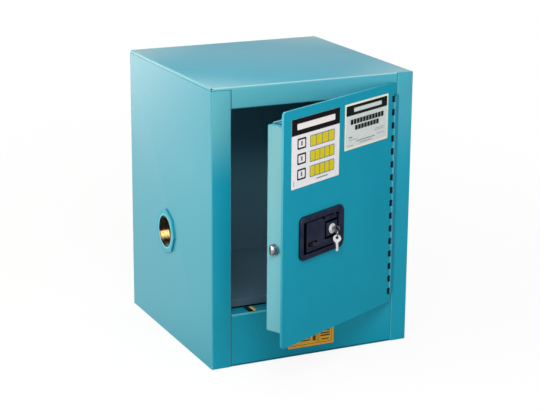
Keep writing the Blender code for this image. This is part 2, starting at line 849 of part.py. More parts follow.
# Paddle: a C-shaped plate round the lock, on two short pins
paddle_front = flange_front + paddle_drop
paddle_back = paddle_front + paddle_thickness
paddle_near = recess_near + paddle_arm_gap
paddle_far = recess_far - paddle_finger_gap
paddle_low = recess_low + paddle_level_gap
paddle_high = recess_high - paddle_level_gap
block_far = lock_block_near + lock_block_width
block_low = lock_level - lock_block_height / 2
block_high = lock_level + lock_block_height / 2
window_far = block_far + window_margin
window_low = block_low - window_level_margin
window_high = block_high + window_level_margin
pivot_u = paddle_near + pivot_inset
pivot_y = (paddle_front + paddle_back) / 2
tail_level = post_level + lever_up
lever_front = cup_outer + lever_gap
lever_back = lever_front + lever_thickness
notch_u = window_far + paddle_notch
paddle_points = [(-paddle_far, paddle_low), (-paddle_near, paddle_low), (-paddle_near, window_low),
                 (-window_far, window_low), (-window_far, window_high), (-paddle_near, window_high),
                 (-paddle_near, paddle_high), (-window_far, paddle_high),
                 (-window_far, paddle_high - paddle_notch), (-notch_u, paddle_high - paddle_notch),
                 (-notch_u, paddle_high), (-paddle_far, paddle_high)]
turns = paddle_round
paddle_bm = prism(rounded(paddle_points, [turns, turns, turns, turns, turns, turns, turns, 0, 0, 0,
                                          0, turns], 2), "xz", paddle_front, paddle_back)
front_of_paddle = paddle_front
round_edges(paddle_bm, lambda e: all(v.co.y < front_of_paddle + sheet / 2 for v in e.verts),
            paddle_round / 3, 1)
pivot = (-pivot_u, pivot_y, 0)
paddle = piece("paddle", paddle_bm, black_plastic, door_turn, origin=pivot)
slot_u = paddle_far - (paddle_far - window_far) * staple_near_share
slot_z = paddle_low + (paddle_high - paddle_low) * staple_level_share
half_slot = staple_slot_length / 2
half_rise = staple_slot_height / 2
slot = plate_outline(-slot_u - half_slot, slot_z - half_rise, -slot_u + half_slot,
                     slot_z + half_rise, half_rise * staple_slot_round_share, 3)
pin_gap = pivot_radius + seat_gap
pin_top = (-pivot_u, pivot_y, paddle_high)
pin_foot = (-pivot_u, pivot_y, paddle_low)
cut(paddle, prism(slot, "xz", paddle_front - overrun, paddle_back + overrun),
    turned([(-pivot_length - seat_gap, pin_gap), (overrun, pin_gap)], "z", pin_top, 12),
    turned([(-overrun, pin_gap), (pivot_length + seat_gap, pin_gap)], "z", pin_foot, 12))
tail_root = (paddle_thickness / 2 - pin_gap) / 2
join(paddle, turned([(paddle_back - tail_root, tail_radius), (lever_back + tail_radius, tail_radius)],
                    "y", (-pivot_u, 0, tail_level), 12))
bite = paddle_level_gap + pivot_bite
piece("paddle_pin_upper", turned([(-pivot_length, pivot_radius), (bite, pivot_radius)], "z",
                                 pin_top, 12), bright_steel, door_turn, origin=pivot)
piece("paddle_pin_lower", turned([(-bite, pivot_radius), (pivot_length, pivot_radius)], "z",
                                 pin_foot, 12), bright_steel, door_turn, origin=pivot)
tail_sweep = (cup_outer - pivot_y) * math.tan(math.radians(pull_degrees))
cut(bezel, turned([(recess_high - overrun, pin_gap), (recess_high + cup_wall + overrun, pin_gap)],
                  "z", (-pivot_u, pivot_y, 0), 12),
    turned([(recess_low - cup_wall - overrun, pin_gap), (recess_low + overrun, pin_gap)],
           "z", (-pivot_u, pivot_y, 0), 12),
    block((-pivot_u - tail_sweep - tail_radius - tail_slot_play, cup_inner - overrun,
           tail_level - tail_radius - tail_slot_play),
          (-pivot_u + tail_radius + tail_slot_play, cup_outer + overrun,
           tail_level + tail_radius + tail_slot_play)))

# Padlock staple that stands through the paddle's slot
staple = piece("padlock_staple",
               block((-slot_u - staple_width / 2, paddle_front - staple_above,
                      slot_z - staple_thickness / 2),
                     (-slot_u + staple_width / 2, cup_inner - seat_gap,
                      slot_z + staple_thickness / 2)), dark_steel, door_turn)
cut(staple, turned([(-overrun, staple_hole), (overrun, staple_hole)], "z",
                   (-slot_u, paddle_front - staple_above / 2, slot_z), 16))

# Lock block, lock body, turning plug and its cam
lock_place = (-lock_u, 0, lock_level)
block_front = flange_front + lock_block_drop
lock_bm = block((-block_far, block_front, block_low),
                (-lock_block_near, cup_inner - seat_gap, block_high))
lock_face = block_front
round_edges(lock_bm, lambda e: all(v.co.y < lock_face + sheet / 2 for v in e.verts),
            lock_block_bevel, 2)
lock_block = piece("lock_block", lock_bm, black_plastic, door_turn)
body_bore = lock_body_radius + lock_play
cut(lock_block, turned([(block_front - overrun, body_bore), (cup_inner + overrun, body_bore)], "y",
                       lock_place, lock_sides))
cut(bezel, turned([(cup_inner - overrun, body_bore), (cup_outer + overrun, body_bore)], "y",
                  lock_place, lock_sides))
ring_back = block_front - seat_gap
ring_front = ring_back - lock_ring_height
body_rear = cup_outer + lock_body_tail
lock_body = piece("lock_body",
                  turned([(ring_front, lock_ring_radius - lock_play), (ring_front + lock_play,
                          lock_ring_radius), (ring_back, lock_ring_radius),
                          (ring_back, lock_body_radius), (body_rear, lock_body_radius)],
                         "y", lock_place, lock_sides), bright_steel, door_turn)
cut(lock_body, turned([(ring_front - overrun, lock_plug_radius + lock_play),
                       (body_rear + overrun, lock_plug_radius + lock_play)], "y", lock_place,
                      lock_sides))
plug_front = ring_front - lock_plug_proud
plug_rear = body_rear + plug_tail
plug = piece("lock_plug", turned([(plug_front, lock_plug_radius), (plug_rear, lock_plug_radius)],
                                 "y", lock_place, lock_sides), bright_steel, door_turn,
             origin=lock_place)
cut(plug, block((-lock_u - keyway_width / 2, plug_front - overrun, lock_level - keyway_height / 2),
                (-lock_u + keyway_width / 2, plug_front + keyway_depth,
                 lock_level + keyway_height / 2)))
cam_front = plug_rear + seat_gap
cam_outline = rounded([(-lock_u - cam_width / 2, lock_level - lock_plug_radius),
                       (-lock_u + cam_width / 2, lock_level - lock_plug_radius),
                       (-lock_u + cam_width / 2, lock_level + cam_length),
                       (-lock_u - cam_width / 2, lock_level + cam_length)], [cam_width * cam_round_share] * 4)
piece("lock_cam", prism(cam_outline, "xz", cam_front, cam_front + cam_thickness), bright_steel,
      door_turn, origin=lock_place)


# A flat key outline: along the blade (into the lock), across it
def key_outline(steps=18):
    half = key_blade_width / 2
    meet = math.asin(half / key_bow_radius)
    centre = -key_neck - key_bow_radius
    points = [(key_blade_length - half, half), (key_blade_length, half * key_point_share),
              (key_blade_length, -half * key_point_share), (key_blade_length - half, -half)]
    for k in range(steps + 1):
        angle = -meet - (math.tau - 2 * meet) * k / steps
        points.append((centre + key_bow_radius * math.cos(angle), key_bow_radius * math.sin(angle)))
    return points[::-1]


hole_along = -key_neck - 2 * key_bow_radius + key_hole_inset
key_points = [(plug_front - seat_gap + a, lock_level + b) for a, b in key_outline()]
key_face = key_thickness / 2
key = piece("door_key", prism(key_points, "yz", -lock_u - key_face, -lock_u + key_face),
            bright_steel, door_turn, origin=lock_place)
key_hole_y = plug_front - seat_gap + hole_along
cut(key, turned([(-overrun, key_hole_radius), (overrun, key_hole_radius)], "x",
                (-lock_u, key_hole_y, lock_level), 16))

# Split ring through the key's hole, and a spare key that hangs on it
hang = key_hole_radius - ring_wire - ring_hang_gap
ring_top = lock_level - hang
ring_centre = ring_top - ring_radius
ring_yaw = math.radians(ring_turn_degrees)


def wire_ring(centre, radius, wire, sides, wire_sides):
    bm = bmesh.new()
    loops = []
    for k in range(sides):
        angle = math.tau * k / sides
        out = Vector((math.cos(ring_yaw) * math.cos(angle), math.sin(ring_yaw) * math.cos(angle),
                      math.sin(angle)))
        flat = Vector((-math.sin(ring_yaw), math.cos(ring_yaw), 0))
        loop = []
        for j in range(wire_sides):
            turn = math.tau * j / wire_sides
            loop.append(bm.verts.new(Vector(centre) + out * (radius + wire * math.cos(turn))
                                     + flat * (wire * math.sin(turn))))
        loops.append(loop)
    for k in range(sides):
        first, second = loops[k], loops[(k + 1) % sides]
        for j in range(wire_sides):
            i = (j + 1) % wire_sides
            bm.faces.new((first[j], first[i], second[i], second[j]))
    return bm


ring_origin = (-lock_u, key_hole_y, ring_top)
piece("key_ring", wire_ring((-lock_u, key_hole_y, ring_centre), ring_radius, ring_wire, ring_sides,
                            ring_wire_sides), bright_steel, door_turn, origin=ring_origin)
ring_foot = ring_centre - ring_radius
spare_hole = ring_foot - hang
spare_origin = (-lock_u, key_hole_y, ring_foot)


def across_ring(bm):
    bmesh.ops.rotate(bm, verts=bm.verts, cent=spare_origin,
                     matrix=Matrix.Rotation(ring_yaw - math.pi / 2, 3, "Z"))
    return bm


spare_points = [(-lock_u + b, spare_hole + hole_along - a) for a, b in key_outline()]
spare = piece("spare_key", across_ring(prism(spare_points, "xz", key_hole_y - key_face,
                                             key_hole_y + key_face)),
              bright_steel, door_turn, origin=spare_origin)
cut(spare, across_ring(turned([(-overrun, key_hole_radius), (overrun, key_hole_radius)], "y",
                              (-lock_u, key_hole_y, spare_hole), 16)))

# Inner door pan: a tray whose open side meets the skin
pan = piece("door_pan",
            round_edges(block((-pan_far, pan_front, pan_bottom), (-pan_hinge_side, pan_back, pan_top)),
                        lambda e: all(v.co.y > pan_back - sheet / 2 for v in e.verts)
                        or abs(e.verts[0].co.y - e.verts[1].co.y) > sheet, pan_bend, 3),
            teal_paint, door_turn)
pan_inner = round_edges(block((-pan_far + sheet, pan_front - overrun, pan_bottom + sheet),
                              (-pan_hinge_side - sheet, pan_back - sheet, pan_top - sheet)),
                        lambda e: all(v.co.y > pan_back - sheet * 1.5 for v in e.verts)
                        or abs(e.verts[0].co.y - e.verts[1].co.y) > sheet, pan_bend - sheet, 3)
cut(pan, pan_inner)
rib = prism(rounded([(-pan_far + pan_lip_inset, pan_top - sheet / 2),
                     (-pan_hinge_side - pan_lip_inset, pan_top - sheet / 2),
                     (-pan_hinge_side - pan_lip_inset, pan_top + pan_lip_height),
                     (-pan_far + pan_lip_inset, pan_top + pan_lip_height)],
                    [0, 0, pan_lip_height * pan_lip_round_share,
                     pan_lip_height * pan_lip_round_share]), "xz",
            pan_back - pan_bend - sheet, pan_back - pan_bend)
join(pan, rib)
slot_far = pan_far - pan_slot_inset
cut(pan, prism(plate_outline(-slot_far, pan_front + pan_slot_inset, -slot_far + pan_slot_length,
                             pan_front + pan_slot_inset + pan_slot_depth,
                             pan_slot_depth * pan_slot_round_share),
               "xy", pan_top - overrun, pan_top + overrun))
bolt_place = (0, bolt_back, bolt_level)
head_bore = bolt_head_radius + bolt_play
cut(pan, turned([(-pan_far - overrun, head_bore), (-pan_far + overrun, head_bore)], "x",
                (0, bolt_back, bolt_level), lock_sides))

# Latch bolt, its guides, and the lever that joins it to the paddle
bolt_tip = -pan_far - bolt_reach
head_rear = -pan_far + bolt_inner
rod_end = -pivot_u - lever_width - sheet
bolt = piece("latch_bolt",
             turned([(bolt_tip, bolt_head_radius - bolt_round),
                     (bolt_tip + bolt_round * bolt_nose_share,
                      bolt_head_radius - bolt_round * bolt_nose_share),
                     (bolt_tip + bolt_round, bolt_head_radius), (head_rear, bolt_head_radius),
                     (head_rear, bolt_rod_radius), (rod_end, bolt_rod_radius)], "x", bolt_place,
                    lock_sides), dark_steel, door_turn, origin=bolt_place)
slope_top = bolt_back + bolt_head_radius + overrun
cut(bolt, prism([(bolt_tip - overrun, bolt_back - bolt_bevel * bolt_slope_share),
                 (bolt_tip, bolt_back - bolt_bevel * bolt_slope_share),
                 (bolt_tip + bolt_bevel, slope_top - overrun),
                 (bolt_tip + bolt_bevel + overrun, slope_top), (bolt_tip - overrun, slope_top)],
                "xy", bolt_level - bolt_head_radius - overrun, bolt_level + bolt_head_radius + overrun))
tongue_front = bolt_back - tongue_thickness / 2
tongue_back = bolt_back + tongue_thickness / 2
lever_down = post_level - bolt_level
peg_slot = lever_peg_radius + peg_slot_play
join(bolt, block((rod_end - overrun, tongue_front, bolt_level - tongue_height / 2),
                 (-pivot_u + tongue_width / 2, tongue_back, bolt_level + tongue_height / 2)))
cut(bolt, prism(plate_outline(-pivot_u - peg_slot, bolt_level - peg_slot, -pivot_u + peg_slot,
                              bolt_level + peg_slot + peg_rise, peg_slot * peg_round_share), "xz",
                tongue_front - overrun, tongue_back + overrun))
guide_end = -pan_far + sheet + seat_gap
piece("bolt_guide", tube(guide_end, guide_end + guide_length, head_bore + guide_wall, head_bore, "x",
                         bolt_place, lock_sides), dark_steel, door_turn)
rod_bracket = piece("rod_bracket",
                    block((-bracket_u - bracket_plate / 2, cup_outer + seat_gap,
                           bolt_level - tongue_height / 2),
                          (-bracket_u + bracket_plate / 2, bolt_back + bolt_rod_radius * rod_wall_share,
                           bolt_level + tongue_height / 2)), bright_steel, door_turn)
rod_bore = bolt_rod_radius + bolt_play
cut(rod_bracket, turned([(-bracket_u - overrun, rod_bore), (-bracket_u + overrun, rod_bore)], "x",
                        bolt_place, lock_sides // 2))
post_place = (-pivot_u, 0, post_level)
piece("lever_post", turned([(cup_outer + seat_gap, post_radius), (lever_back + sheet, post_radius)],
                           "y", post_place, 16), bright_steel, door_turn)
head_top = tail_level + lever_end
lever_foot = bolt_level - lever_width / 2
half_bar = lever_width / 2
half_head = lever_head_width / 2
shoulder = tail_level - lever_end
lever_points = [(-pivot_u - half_bar, lever_foot), (-pivot_u + half_bar, lever_foot),
                (-pivot_u + half_bar, shoulder - half_bar), (-pivot_u + half_head, shoulder),
                (-pivot_u + half_head, head_top), (-pivot_u - half_head, head_top),
                (-pivot_u - half_head, shoulder), (-pivot_u - half_bar, shoulder - half_bar)]
lever = piece("latch_lever", prism(rounded(lever_points, [half_bar * lever_round_share] * 2 + [0] * 6), "xz",
                                   lever_front, lever_back), bright_steel, door_turn,
              origin=post_place)
tilt = math.radians(pull_degrees)
fork = tail_radius / math.cos(tilt) + lever_thickness * math.tan(tilt) / 2 + lever_play
cut(lever, turned([(lever_front - overrun, post_radius + lever_play),
                   (lever_back + overrun, post_radius + lever_play)], "y", post_place, 16),
    block((-pivot_u - fork, lever_front - overrun, tail_level - fork),
          (-pivot_u + fork, lever_back + overrun, head_top + overrun)))
join(lever, turned([(lever_back - sheet, lever_peg_radius),
                    (tongue_back + sheet, lever_peg_radius)], "y",
                   (-pivot_u, 0, bolt_level), 12))

# Printed plates on the door
plate_back = -skin_front - seat_gap
for name, near, width, height, high in (
        ("door_label", door_label_near, door_label_width, door_label_height, door_label_top),
        ("door_plate", door_plate_near, door_plate_width, door_plate_height, door_plate_top)):
    outline = plate_outline(-near - width, high - height, -near, high, label_corner)
    piece(name, prism(outline, "xz", plate_back - label_thickness, plate_back), label_print,
          door_turn)
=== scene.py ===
# Counter-top safety cabinet: finishes, printed plates, keys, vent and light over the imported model
import json
import math

import bmesh
import bpy
from mathutils import Matrix, Vector

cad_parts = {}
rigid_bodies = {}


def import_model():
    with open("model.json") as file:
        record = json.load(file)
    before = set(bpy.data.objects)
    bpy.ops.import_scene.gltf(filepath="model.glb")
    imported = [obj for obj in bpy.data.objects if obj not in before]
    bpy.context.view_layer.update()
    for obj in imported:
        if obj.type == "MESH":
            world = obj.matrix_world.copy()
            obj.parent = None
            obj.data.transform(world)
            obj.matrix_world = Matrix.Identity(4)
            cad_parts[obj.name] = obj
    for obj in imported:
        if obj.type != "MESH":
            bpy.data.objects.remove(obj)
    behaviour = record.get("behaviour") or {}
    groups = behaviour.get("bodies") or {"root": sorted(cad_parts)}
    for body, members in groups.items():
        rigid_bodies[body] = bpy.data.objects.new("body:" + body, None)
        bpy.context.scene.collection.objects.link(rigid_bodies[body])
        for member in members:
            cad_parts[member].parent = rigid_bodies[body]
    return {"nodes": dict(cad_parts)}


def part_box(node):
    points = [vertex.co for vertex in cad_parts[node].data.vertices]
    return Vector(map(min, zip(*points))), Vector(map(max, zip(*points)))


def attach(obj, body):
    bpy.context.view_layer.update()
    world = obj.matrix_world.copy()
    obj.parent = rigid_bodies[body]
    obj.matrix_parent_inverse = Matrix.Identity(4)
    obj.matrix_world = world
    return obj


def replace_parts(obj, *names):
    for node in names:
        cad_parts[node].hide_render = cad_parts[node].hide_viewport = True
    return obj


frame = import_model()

nodes = frame["nodes"]
for leftOver in list(bpy.data.objects):    # the start-up cube, lamp and camera
    if leftOver.type in {"MESH", "LIGHT", "CAMERA"} and leftOver.name not in nodes:
        bpy.data.objects.remove(leftOver, do_unlink=True)
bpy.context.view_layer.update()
print("cabinet model loaded:", len(nodes), "solids")


def linkPiece(name, data):
    item = bpy.data.objects.new(name, data)
    bpy.context.scene.collection.objects.link(item)
    return item


def meshFrom(name, bm):
    mesh = bpy.data.meshes.new(name)
    bm.to_mesh(mesh)
    bm.free()
    return mesh


# Camera first: where the photograph was taken from
cameraView = {
    "place": (-1.3633, -2.9122, 1.1744),
    "forward": (0.4096, 0.8697, -0.2753),
    "right": (0.9055, -0.4242, 0.0071),
    "lens": 107.25,
    "sensor": 36.0,
    "clip": (0.05, 60.0),
}


def placeCamera(values):
    lens = bpy.data.cameras.new("photoCamera")
    lens.lens, lens.sensor_width = values["lens"], values["sensor"]
    lens.clip_start, lens.clip_end = values["clip"]
    holder = linkPiece("photoCamera", lens)
    ahead = Vector(values["forward"]).normalized()
    across = Vector(values["right"])
    across = (across - ahead * across.dot(ahead)).normalized()
    above = across.cross(ahead)
    turn = Matrix((across, above, -ahead)).transposed().to_4x4()
    holder.matrix_world = Matrix.Translation(values["place"]) @ turn
    bpy.context.scene.camera = holder


placeCamera(cameraView)
print("camera set")

# The open door: a point in its own frame is (-distance from the hinge pin, depth, height)
doorStance = {"pinX": 0.1727, "pinY": -0.2199, "openDegrees": 26.5}
doorPlace = (Matrix.Translation((doorStance["pinX"], doorStance["pinY"], 0))
             @ Matrix.Rotation(math.radians(doorStance["openDegrees"]), 4, "Z"))


# Small helpers for node trees
def addNode(tree, kind, feeds=None, **settings):
    node = tree.nodes.new(kind)
    for key, value in settings.items():
        setattr(node, key, value)
    for key, value in (feeds or {}).items():
        if isinstance(value, bpy.types.NodeSocket):
            tree.links.new(value, node.inputs[key])
        else:
            node.inputs[key].default_value = value
    return node


def startFinish(name):
    finish = bpy.data.materials.new(name)
    finish.use_nodes = True
    tree = finish.node_tree
    return finish, tree, tree.nodes["Principled BSDF"]


def grain(tree, spot, scale, detail=3.0, roughness=0.55):
    return addNode(tree, "ShaderNodeTexNoise", {"Vector": spot, "Scale": scale, "Detail": detail,
                                                "Roughness": roughness}).outputs["Fac"]


def spread(tree, value, low, high, fromLow=0.3, fromHigh=0.7):
    feeds = {"Value": value, "From Min": fromLow, "From Max": fromHigh, "To Min": low, "To Max": high}
    return addNode(tree, "ShaderNodeMapRange", feeds).outputs["Result"]


def blendColor(tree, amount, first, second):
    node = addNode(tree, "ShaderNodeMix", data_type="RGBA")
    tree.links.new(amount, node.inputs["Factor"])
    for slotName, value in (("A", first), ("B", second)):
        socket = [s for s in node.inputs if s.name == slotName and s.type == "RGBA"][0]
        if isinstance(value, bpy.types.NodeSocket):
            tree.links.new(value, socket)
        else:
            socket.default_value = (*value, 1.0)
    return [s for s in node.outputs if s.type == "RGBA"][0]


def softEdge(tree, radius, samples=6):
    return addNode(tree, "ShaderNodeBevel", {"Radius": radius}, samples=samples).outputs["Normal"]


def edgeMask(tree, rounded, low, high):    # 1 on edges and corners, 0 on flat faces
    shape = addNode(tree, "ShaderNodeNewGeometry").outputs["Normal"]
    agree = addNode(tree, "ShaderNodeVectorMath", {0: rounded, 1: shape}, operation="DOT_PRODUCT")
    return spread(tree, agree.outputs["Value"], 0.0, 1.0, high, low)


def ramp(tree, value, low, high, least=0.0, most=1.0):    # least at low, most at high, soft between
    feeds = {"Value": value, "From Min": low, "From Max": high, "To Min": least, "To Max": most}
    return addNode(tree, "ShaderNodeMapRange", feeds,
                   interpolation_type="SMOOTHSTEP").outputs["Result"]


def combine(tree, operation, *values):    # one sum, product or maximum along a row of values
    total = values[0]
    for value in values[1:]:
        total = addNode(tree, "ShaderNodeMath", {0: total, 1: value}, operation=operation).outputs[0]
    return total


def product(tree, *values):
    return combine(tree, "MULTIPLY", *values)


def apartXYZ(tree, vector):
    return addNode(tree, "ShaderNodeSeparateXYZ", {0: vector}).outputs


def farFrom(tree, spot, point, keep):    # distance to a point, or to a line where keep drops its axis
    flat = addNode(tree, "ShaderNodeVectorMath", {0: spot, 1: keep}, operation="MULTIPLY").outputs[0]
    apart = addNode(tree, "ShaderNodeVectorMath", {0: flat, 1: point}, operation="DISTANCE")
    return apart.outputs["Value"]


def inDoor(tree, spot):    # turned back about the hinge pin, along the door's own directions
    feeds = {"Vector": spot, "Center": (doorStance["pinX"], doorStance["pinY"], 0.0),
             "Angle": math.radians(-doorStance["openDegrees"])}
    turned = addNode(tree, "ShaderNodeVectorRotate", feeds, rotation_type="Z_AXIS")
    return apartXYZ(tree, turned.outputs[0])


def creaseShadeMask(tree, reach, limits, most=1.0):    # painted shade: 0 in the open, most in a tight corner
    openness = addNode(tree, "ShaderNodeAmbientOcclusion", {"Distance": reach}, samples=8).outputs["AO"]
    return spread(tree, openness, 0.0, most, *limits)


def bendMask(tree, turnDegrees, limits=(1.12, 1.36)):    # 1 on the rolled bends between square faces
    shape = addNode(tree, "ShaderNodeTexCoord").outputs["Normal"]    # the part's own frame, at any pose
    feeds = {"Vector": shape, "Angle": math.radians(-turnDegrees)}
    turned = addNode(tree, "ShaderNodeVectorRotate", feeds, rotation_type="Z_AXIS").outputs[0]
    sides = addNode(tree, "ShaderNodeVectorMath", {0: turned}, operation="ABSOLUTE").outputs[0]
    total = addNode(tree, "ShaderNodeVectorMath", {0: sides, 1: (1.0, 1.0, 1.0)},
                    operation="DOT_PRODUCT")
    return ramp(tree, total.outputs["Value"], *limits)


def bandMask(tree, value, low, high, soft):    # 1 between low and high
    return product(tree, ramp(tree, value, low - soft, low + soft),
                   ramp(tree, value, high + soft, high - soft))


def bump(tree, height, distance, strength, under=None):
    feeds = {"Height": height, "Distance": distance, "Strength": strength}
    if under is not None:
        feeds["Normal"] = under
    return addNode(tree, "ShaderNodeBump", feeds).outputs["Normal"]


# Metals: colour, drawn lines along one axis and tarnish
brightLook = {
    "color": (0.95, 0.95, 0.98), "dullColor": (0.86, 0.86, 0.90), "roughness": (0.22, 0.40),
    "metallic": 0.35,
    "lines": (900.0, 900.0, 60.0), "lineDepth": 0.00002, "edgeRadius": 0.0003,
}
boltLook = {
    "color": (0.42, 0.41, 0.43), "dullColor": (0.16, 0.155, 0.18), "roughness": (0.20, 0.38),
    "lines": (1600.0, 70.0, 70.0), "lineDepth": 0.00003, "edgeRadius": 0.0005,
}
brassLook = {
    "color": (0.86, 0.60, 0.22), "dullColor": (0.50, 0.31, 0.10), "roughness": (0.20, 0.42),
    "lines": (1500.0, 120.0, 120.0), "lineDepth": 0.00003, "edgeRadius": 0.0004,
}
ventBrassLook = {
    **brassLook, "color": (0.90, 0.68, 0.30), "dullColor": (0.62, 0.40, 0.14), "roughness": (0.24, 0.44),
    # painted shade in the bore, dark in patches, and a band of painted reflection
    "boreShadeColor": (0.024, 0.019, 0.014), "boreShadePatchColor": (0.20, 0.105, 0.050), "boreShadePatchAmount": 0.8,
    "boreShadeScale": 260.0, "boreShadeLimits": (0.48, 0.70), "glintWobble": 0.0012, "wobbleScale": 170.0,
    "glintLevels": (0.1980, 0.2120), "levelSoft": 0.0022, "glintDepth": 0.0175, "depthSoft": 0.0015,
}
bareLook = {
    "color": (0.60, 0.61, 0.62), "dullColor": (0.40, 0.40, 0.41), "roughness": (0.28, 0.46),
    "lines": (90.0, 1200.0, 90.0), "lineDepth": 0.00003, "edgeRadius": 0.0004,
}
metalWear = {"tarnishScale": 160.0, "tarnishLimits": (0.42, 0.72), "lineStrength": 0.35}

# Teal powder coat over sheet steel
coatLook = {
    "color": (0.0035, 0.258, 0.374), "cloudColor": (0.0050, 0.284, 0.404), "cloudScale": 5.5,
    "roughness": (0.36, 0.46), "speckScale": 1400.0, "ior": 1.5, "specular": 0.42,
    # orange peel over slow waves in the sheet
    "peelScale": 520.0, "peelDepth": 0.00009, "peelStrength": 0.45,
    "waveScale": 26.0, "waveDepth": 0.0006, "waveStrength": 0.10,
    # worn edges, chipped in patches, and painted shade in the seams
    "edgeColor": (0.075, 0.450, 0.520), "edgeAmount": 0.60, "edgeRadius": 0.0006,
    "edgeLimits": (0.80, 0.995), "chipScale": 90.0, "chipLeast": 0.35,
    "seamShadeColor": (0.0015, 0.030, 0.045), "seamShadeAmount": 0.85, "seamShadeReach": 0.0035,
    "seamShadeLimits": (0.50, 0.12),
    # painted highlight on the rolled bends, weaker on those that face left or down
    "bendHighlightColor": (0.22, 0.52, 0.58), "bendHighlightAmount": 0.40, "bendUp": (-0.35, -0.05),
    "bendRight": (-0.60, -0.30), "bendLeftShare": 0.40, "turnDegrees": 0.0,
    # painted light: front faces paler towards their top and left
    "topLightColor": (0.105, 0.375, 0.440), "topLightAmount": 0.0, "topLightLevels": (0.36, 0.50),
    "topLightAcross": (-0.21, 0.30), "topLightRightShare": 0.25, "facingOn": (-0.5, -0.9),
    # painted light and shade on left faces, from one tint low down to another at the top
    "leftLightLowColor": (0.048, 0.278, 0.374), "leftLightTopColor": (0.0035, 0.222, 0.322), "leftLightAmount": 0.0,
    "leftLightLevels": (0.56, 0.36),
    # less shine on front faces and on bends that face left
    "frontShine": 0.5, "frontOff": (-0.9, -0.5), "bendShine": 0.30, "calmLeft": (-0.3, -0.6),
}


def powderCoat(name, values, marks=None):
    finish, tree, shader = startFinish(name)
    own = addNode(tree, "ShaderNodeTexCoord").outputs    # the part's own frame, the same at every pose
    spot = own["Object"]
    rounded = softEdge(tree, values["edgeRadius"])
    clouds = spread(tree, grain(tree, spot, values["cloudScale"], detail=4.0), 0.0, 1.0)
    color = blendColor(tree, clouds, values["color"], values["cloudColor"])
    worn = product(tree, edgeMask(tree, rounded, *values["edgeLimits"]),
                   spread(tree, grain(tree, spot, values["chipScale"]), values["chipLeast"], 1.0),
                   values["edgeAmount"])
    color = blendColor(tree, worn, color, values["edgeColor"])
    facing = apartXYZ(tree, own["Normal"])
    apart = apartXYZ(tree, spot)
    bends = bendMask(tree, values["turnDegrees"])
    # painted highlight on the rolled bends
    bendHighlight = product(tree, bends, values["bendHighlightAmount"], ramp(tree, facing["Z"], *values["bendUp"]),
                   spread(tree, facing["X"], values["bendLeftShare"], 1.0, *values["bendRight"]))
    color = blendColor(tree, bendHighlight, color, values["bendHighlightColor"])
    if values["topLightAmount"]:
        # painted light, paler towards the top and left of front faces
        topLight = product(tree, ramp(tree, facing["Y"], *values["facingOn"]), values["topLightAmount"],
                       ramp(tree, apart["Z"], *values["topLightLevels"]),
                       spread(tree, apart["X"], 1.0, values["topLightRightShare"], *values["topLightAcross"]))
        color = blendColor(tree, topLight, color, values["topLightColor"])
    if values["leftLightAmount"]:
        # painted light and shade on faces that look left
        low = ramp(tree, apart["Z"], *values["leftLightLevels"])
        tint = blendColor(tree, low, values["leftLightTopColor"], values["leftLightLowColor"])
        side = product(tree, ramp(tree, facing["X"], *values["facingOn"]), values["leftLightAmount"])
        color = blendColor(tree, side, color, tint)
    if marks:
        color = marks(tree, color, own)
    # painted shade, darker in seams and tight corners
    seamShade = creaseShadeMask(tree, values["seamShadeReach"], values["seamShadeLimits"], values["seamShadeAmount"])
    tree.links.new(blendColor(tree, seamShade, color, values["seamShadeColor"]), shader.inputs["Base Color"])
    specks = grain(tree, spot, values["speckScale"], detail=2.0)
    tree.links.new(spread(tree, specks, *values["roughness"]), shader.inputs["Roughness"])
    waves = grain(tree, spot, values["waveScale"], detail=1.0)
    peel = grain(tree, spot, values["peelScale"], detail=2.0, roughness=0.4)
    wavy = bump(tree, waves, values["waveDepth"], values["waveStrength"], rounded)
    tree.links.new(bump(tree, peel, values["peelDepth"], values["peelStrength"], wavy),
                   shader.inputs["Normal"])
    shader.inputs["IOR"].default_value = values["ior"]
    front = spread(tree, facing["Y"], values["frontShine"], 1.0, *values["frontOff"])
    calm = product(tree, bends, ramp(tree, facing["X"], *values["calmLeft"]))
    calm = spread(tree, calm, 1.0, values["bendShine"], 0.0, 1.0)
    shader.inputs["Specular IOR Level"].default_value = values["specular"]    # if the link is cut
    tree.links.new(product(tree, front, calm, values["specular"]), shader.inputs["Specular IOR Level"])
    return finish


# Painted shade on the frame: dark in the gap behind the hinge and in the open corners of the lid's bends
frameShade = {"gapShadeColor": (0.0010, 0.012, 0.020), "gapRadius": 0.0062, "gapSoft": 0.0010,
              "endSoft": 0.0006, "holeInset": 0.0014, "holeRadius": 0.0021, "holeSoft": 0.0005}


def shadeFrame(tree, color, own):
    pinLow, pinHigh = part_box("hinge_pin")
    lidLow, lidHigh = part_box("top_panel")
    radius, soft = frameShade["gapRadius"], frameShade["gapSoft"]
    upright = bandMask(tree, apartXYZ(tree, own["Object"])["Z"], pinLow.z, pinHigh.z,
                       frameShade["endSoft"])
    away = farFrom(tree, own["Object"], (doorStance["pinX"], doorStance["pinY"], 0.0), (1.0, 1.0, 0.0))
    # painted shade in the gap behind the hinge
    gap = product(tree, ramp(tree, away, radius + soft, radius), upright)
    color = blendColor(tree, gap, color, frameShade["gapShadeColor"])
    # painted shade in the open corners of the lid's bends
    inset, radius, soft = frameShade["holeInset"], frameShade["holeRadius"], frameShade["holeSoft"]
    for side in (lidLow.x + inset, lidHigh.x - inset):
        corner = (side, lidLow.y + inset, lidHigh.z - inset)
        away = farFrom(tree, own["Object"], corner, (1.0, 1.0, 1.0))
        color = blendColor(tree, ramp(tree, away, radius + soft, radius - soft), color,
                           frameShade["gapShadeColor"])
    return color


leafShade = {"reach": (0.0004, 0.0014)}    # painted shade: the frame leaf is dark from the pin inwards


def shadeLeaf(tree, color, own):
    dark = ramp(tree, apartXYZ(tree, own["Object"])["X"],
                *(doorStance["pinX"] - reach for reach in leafShade["reach"]))
    return blendColor(tree, dark, color, frameShade["gapShadeColor"])


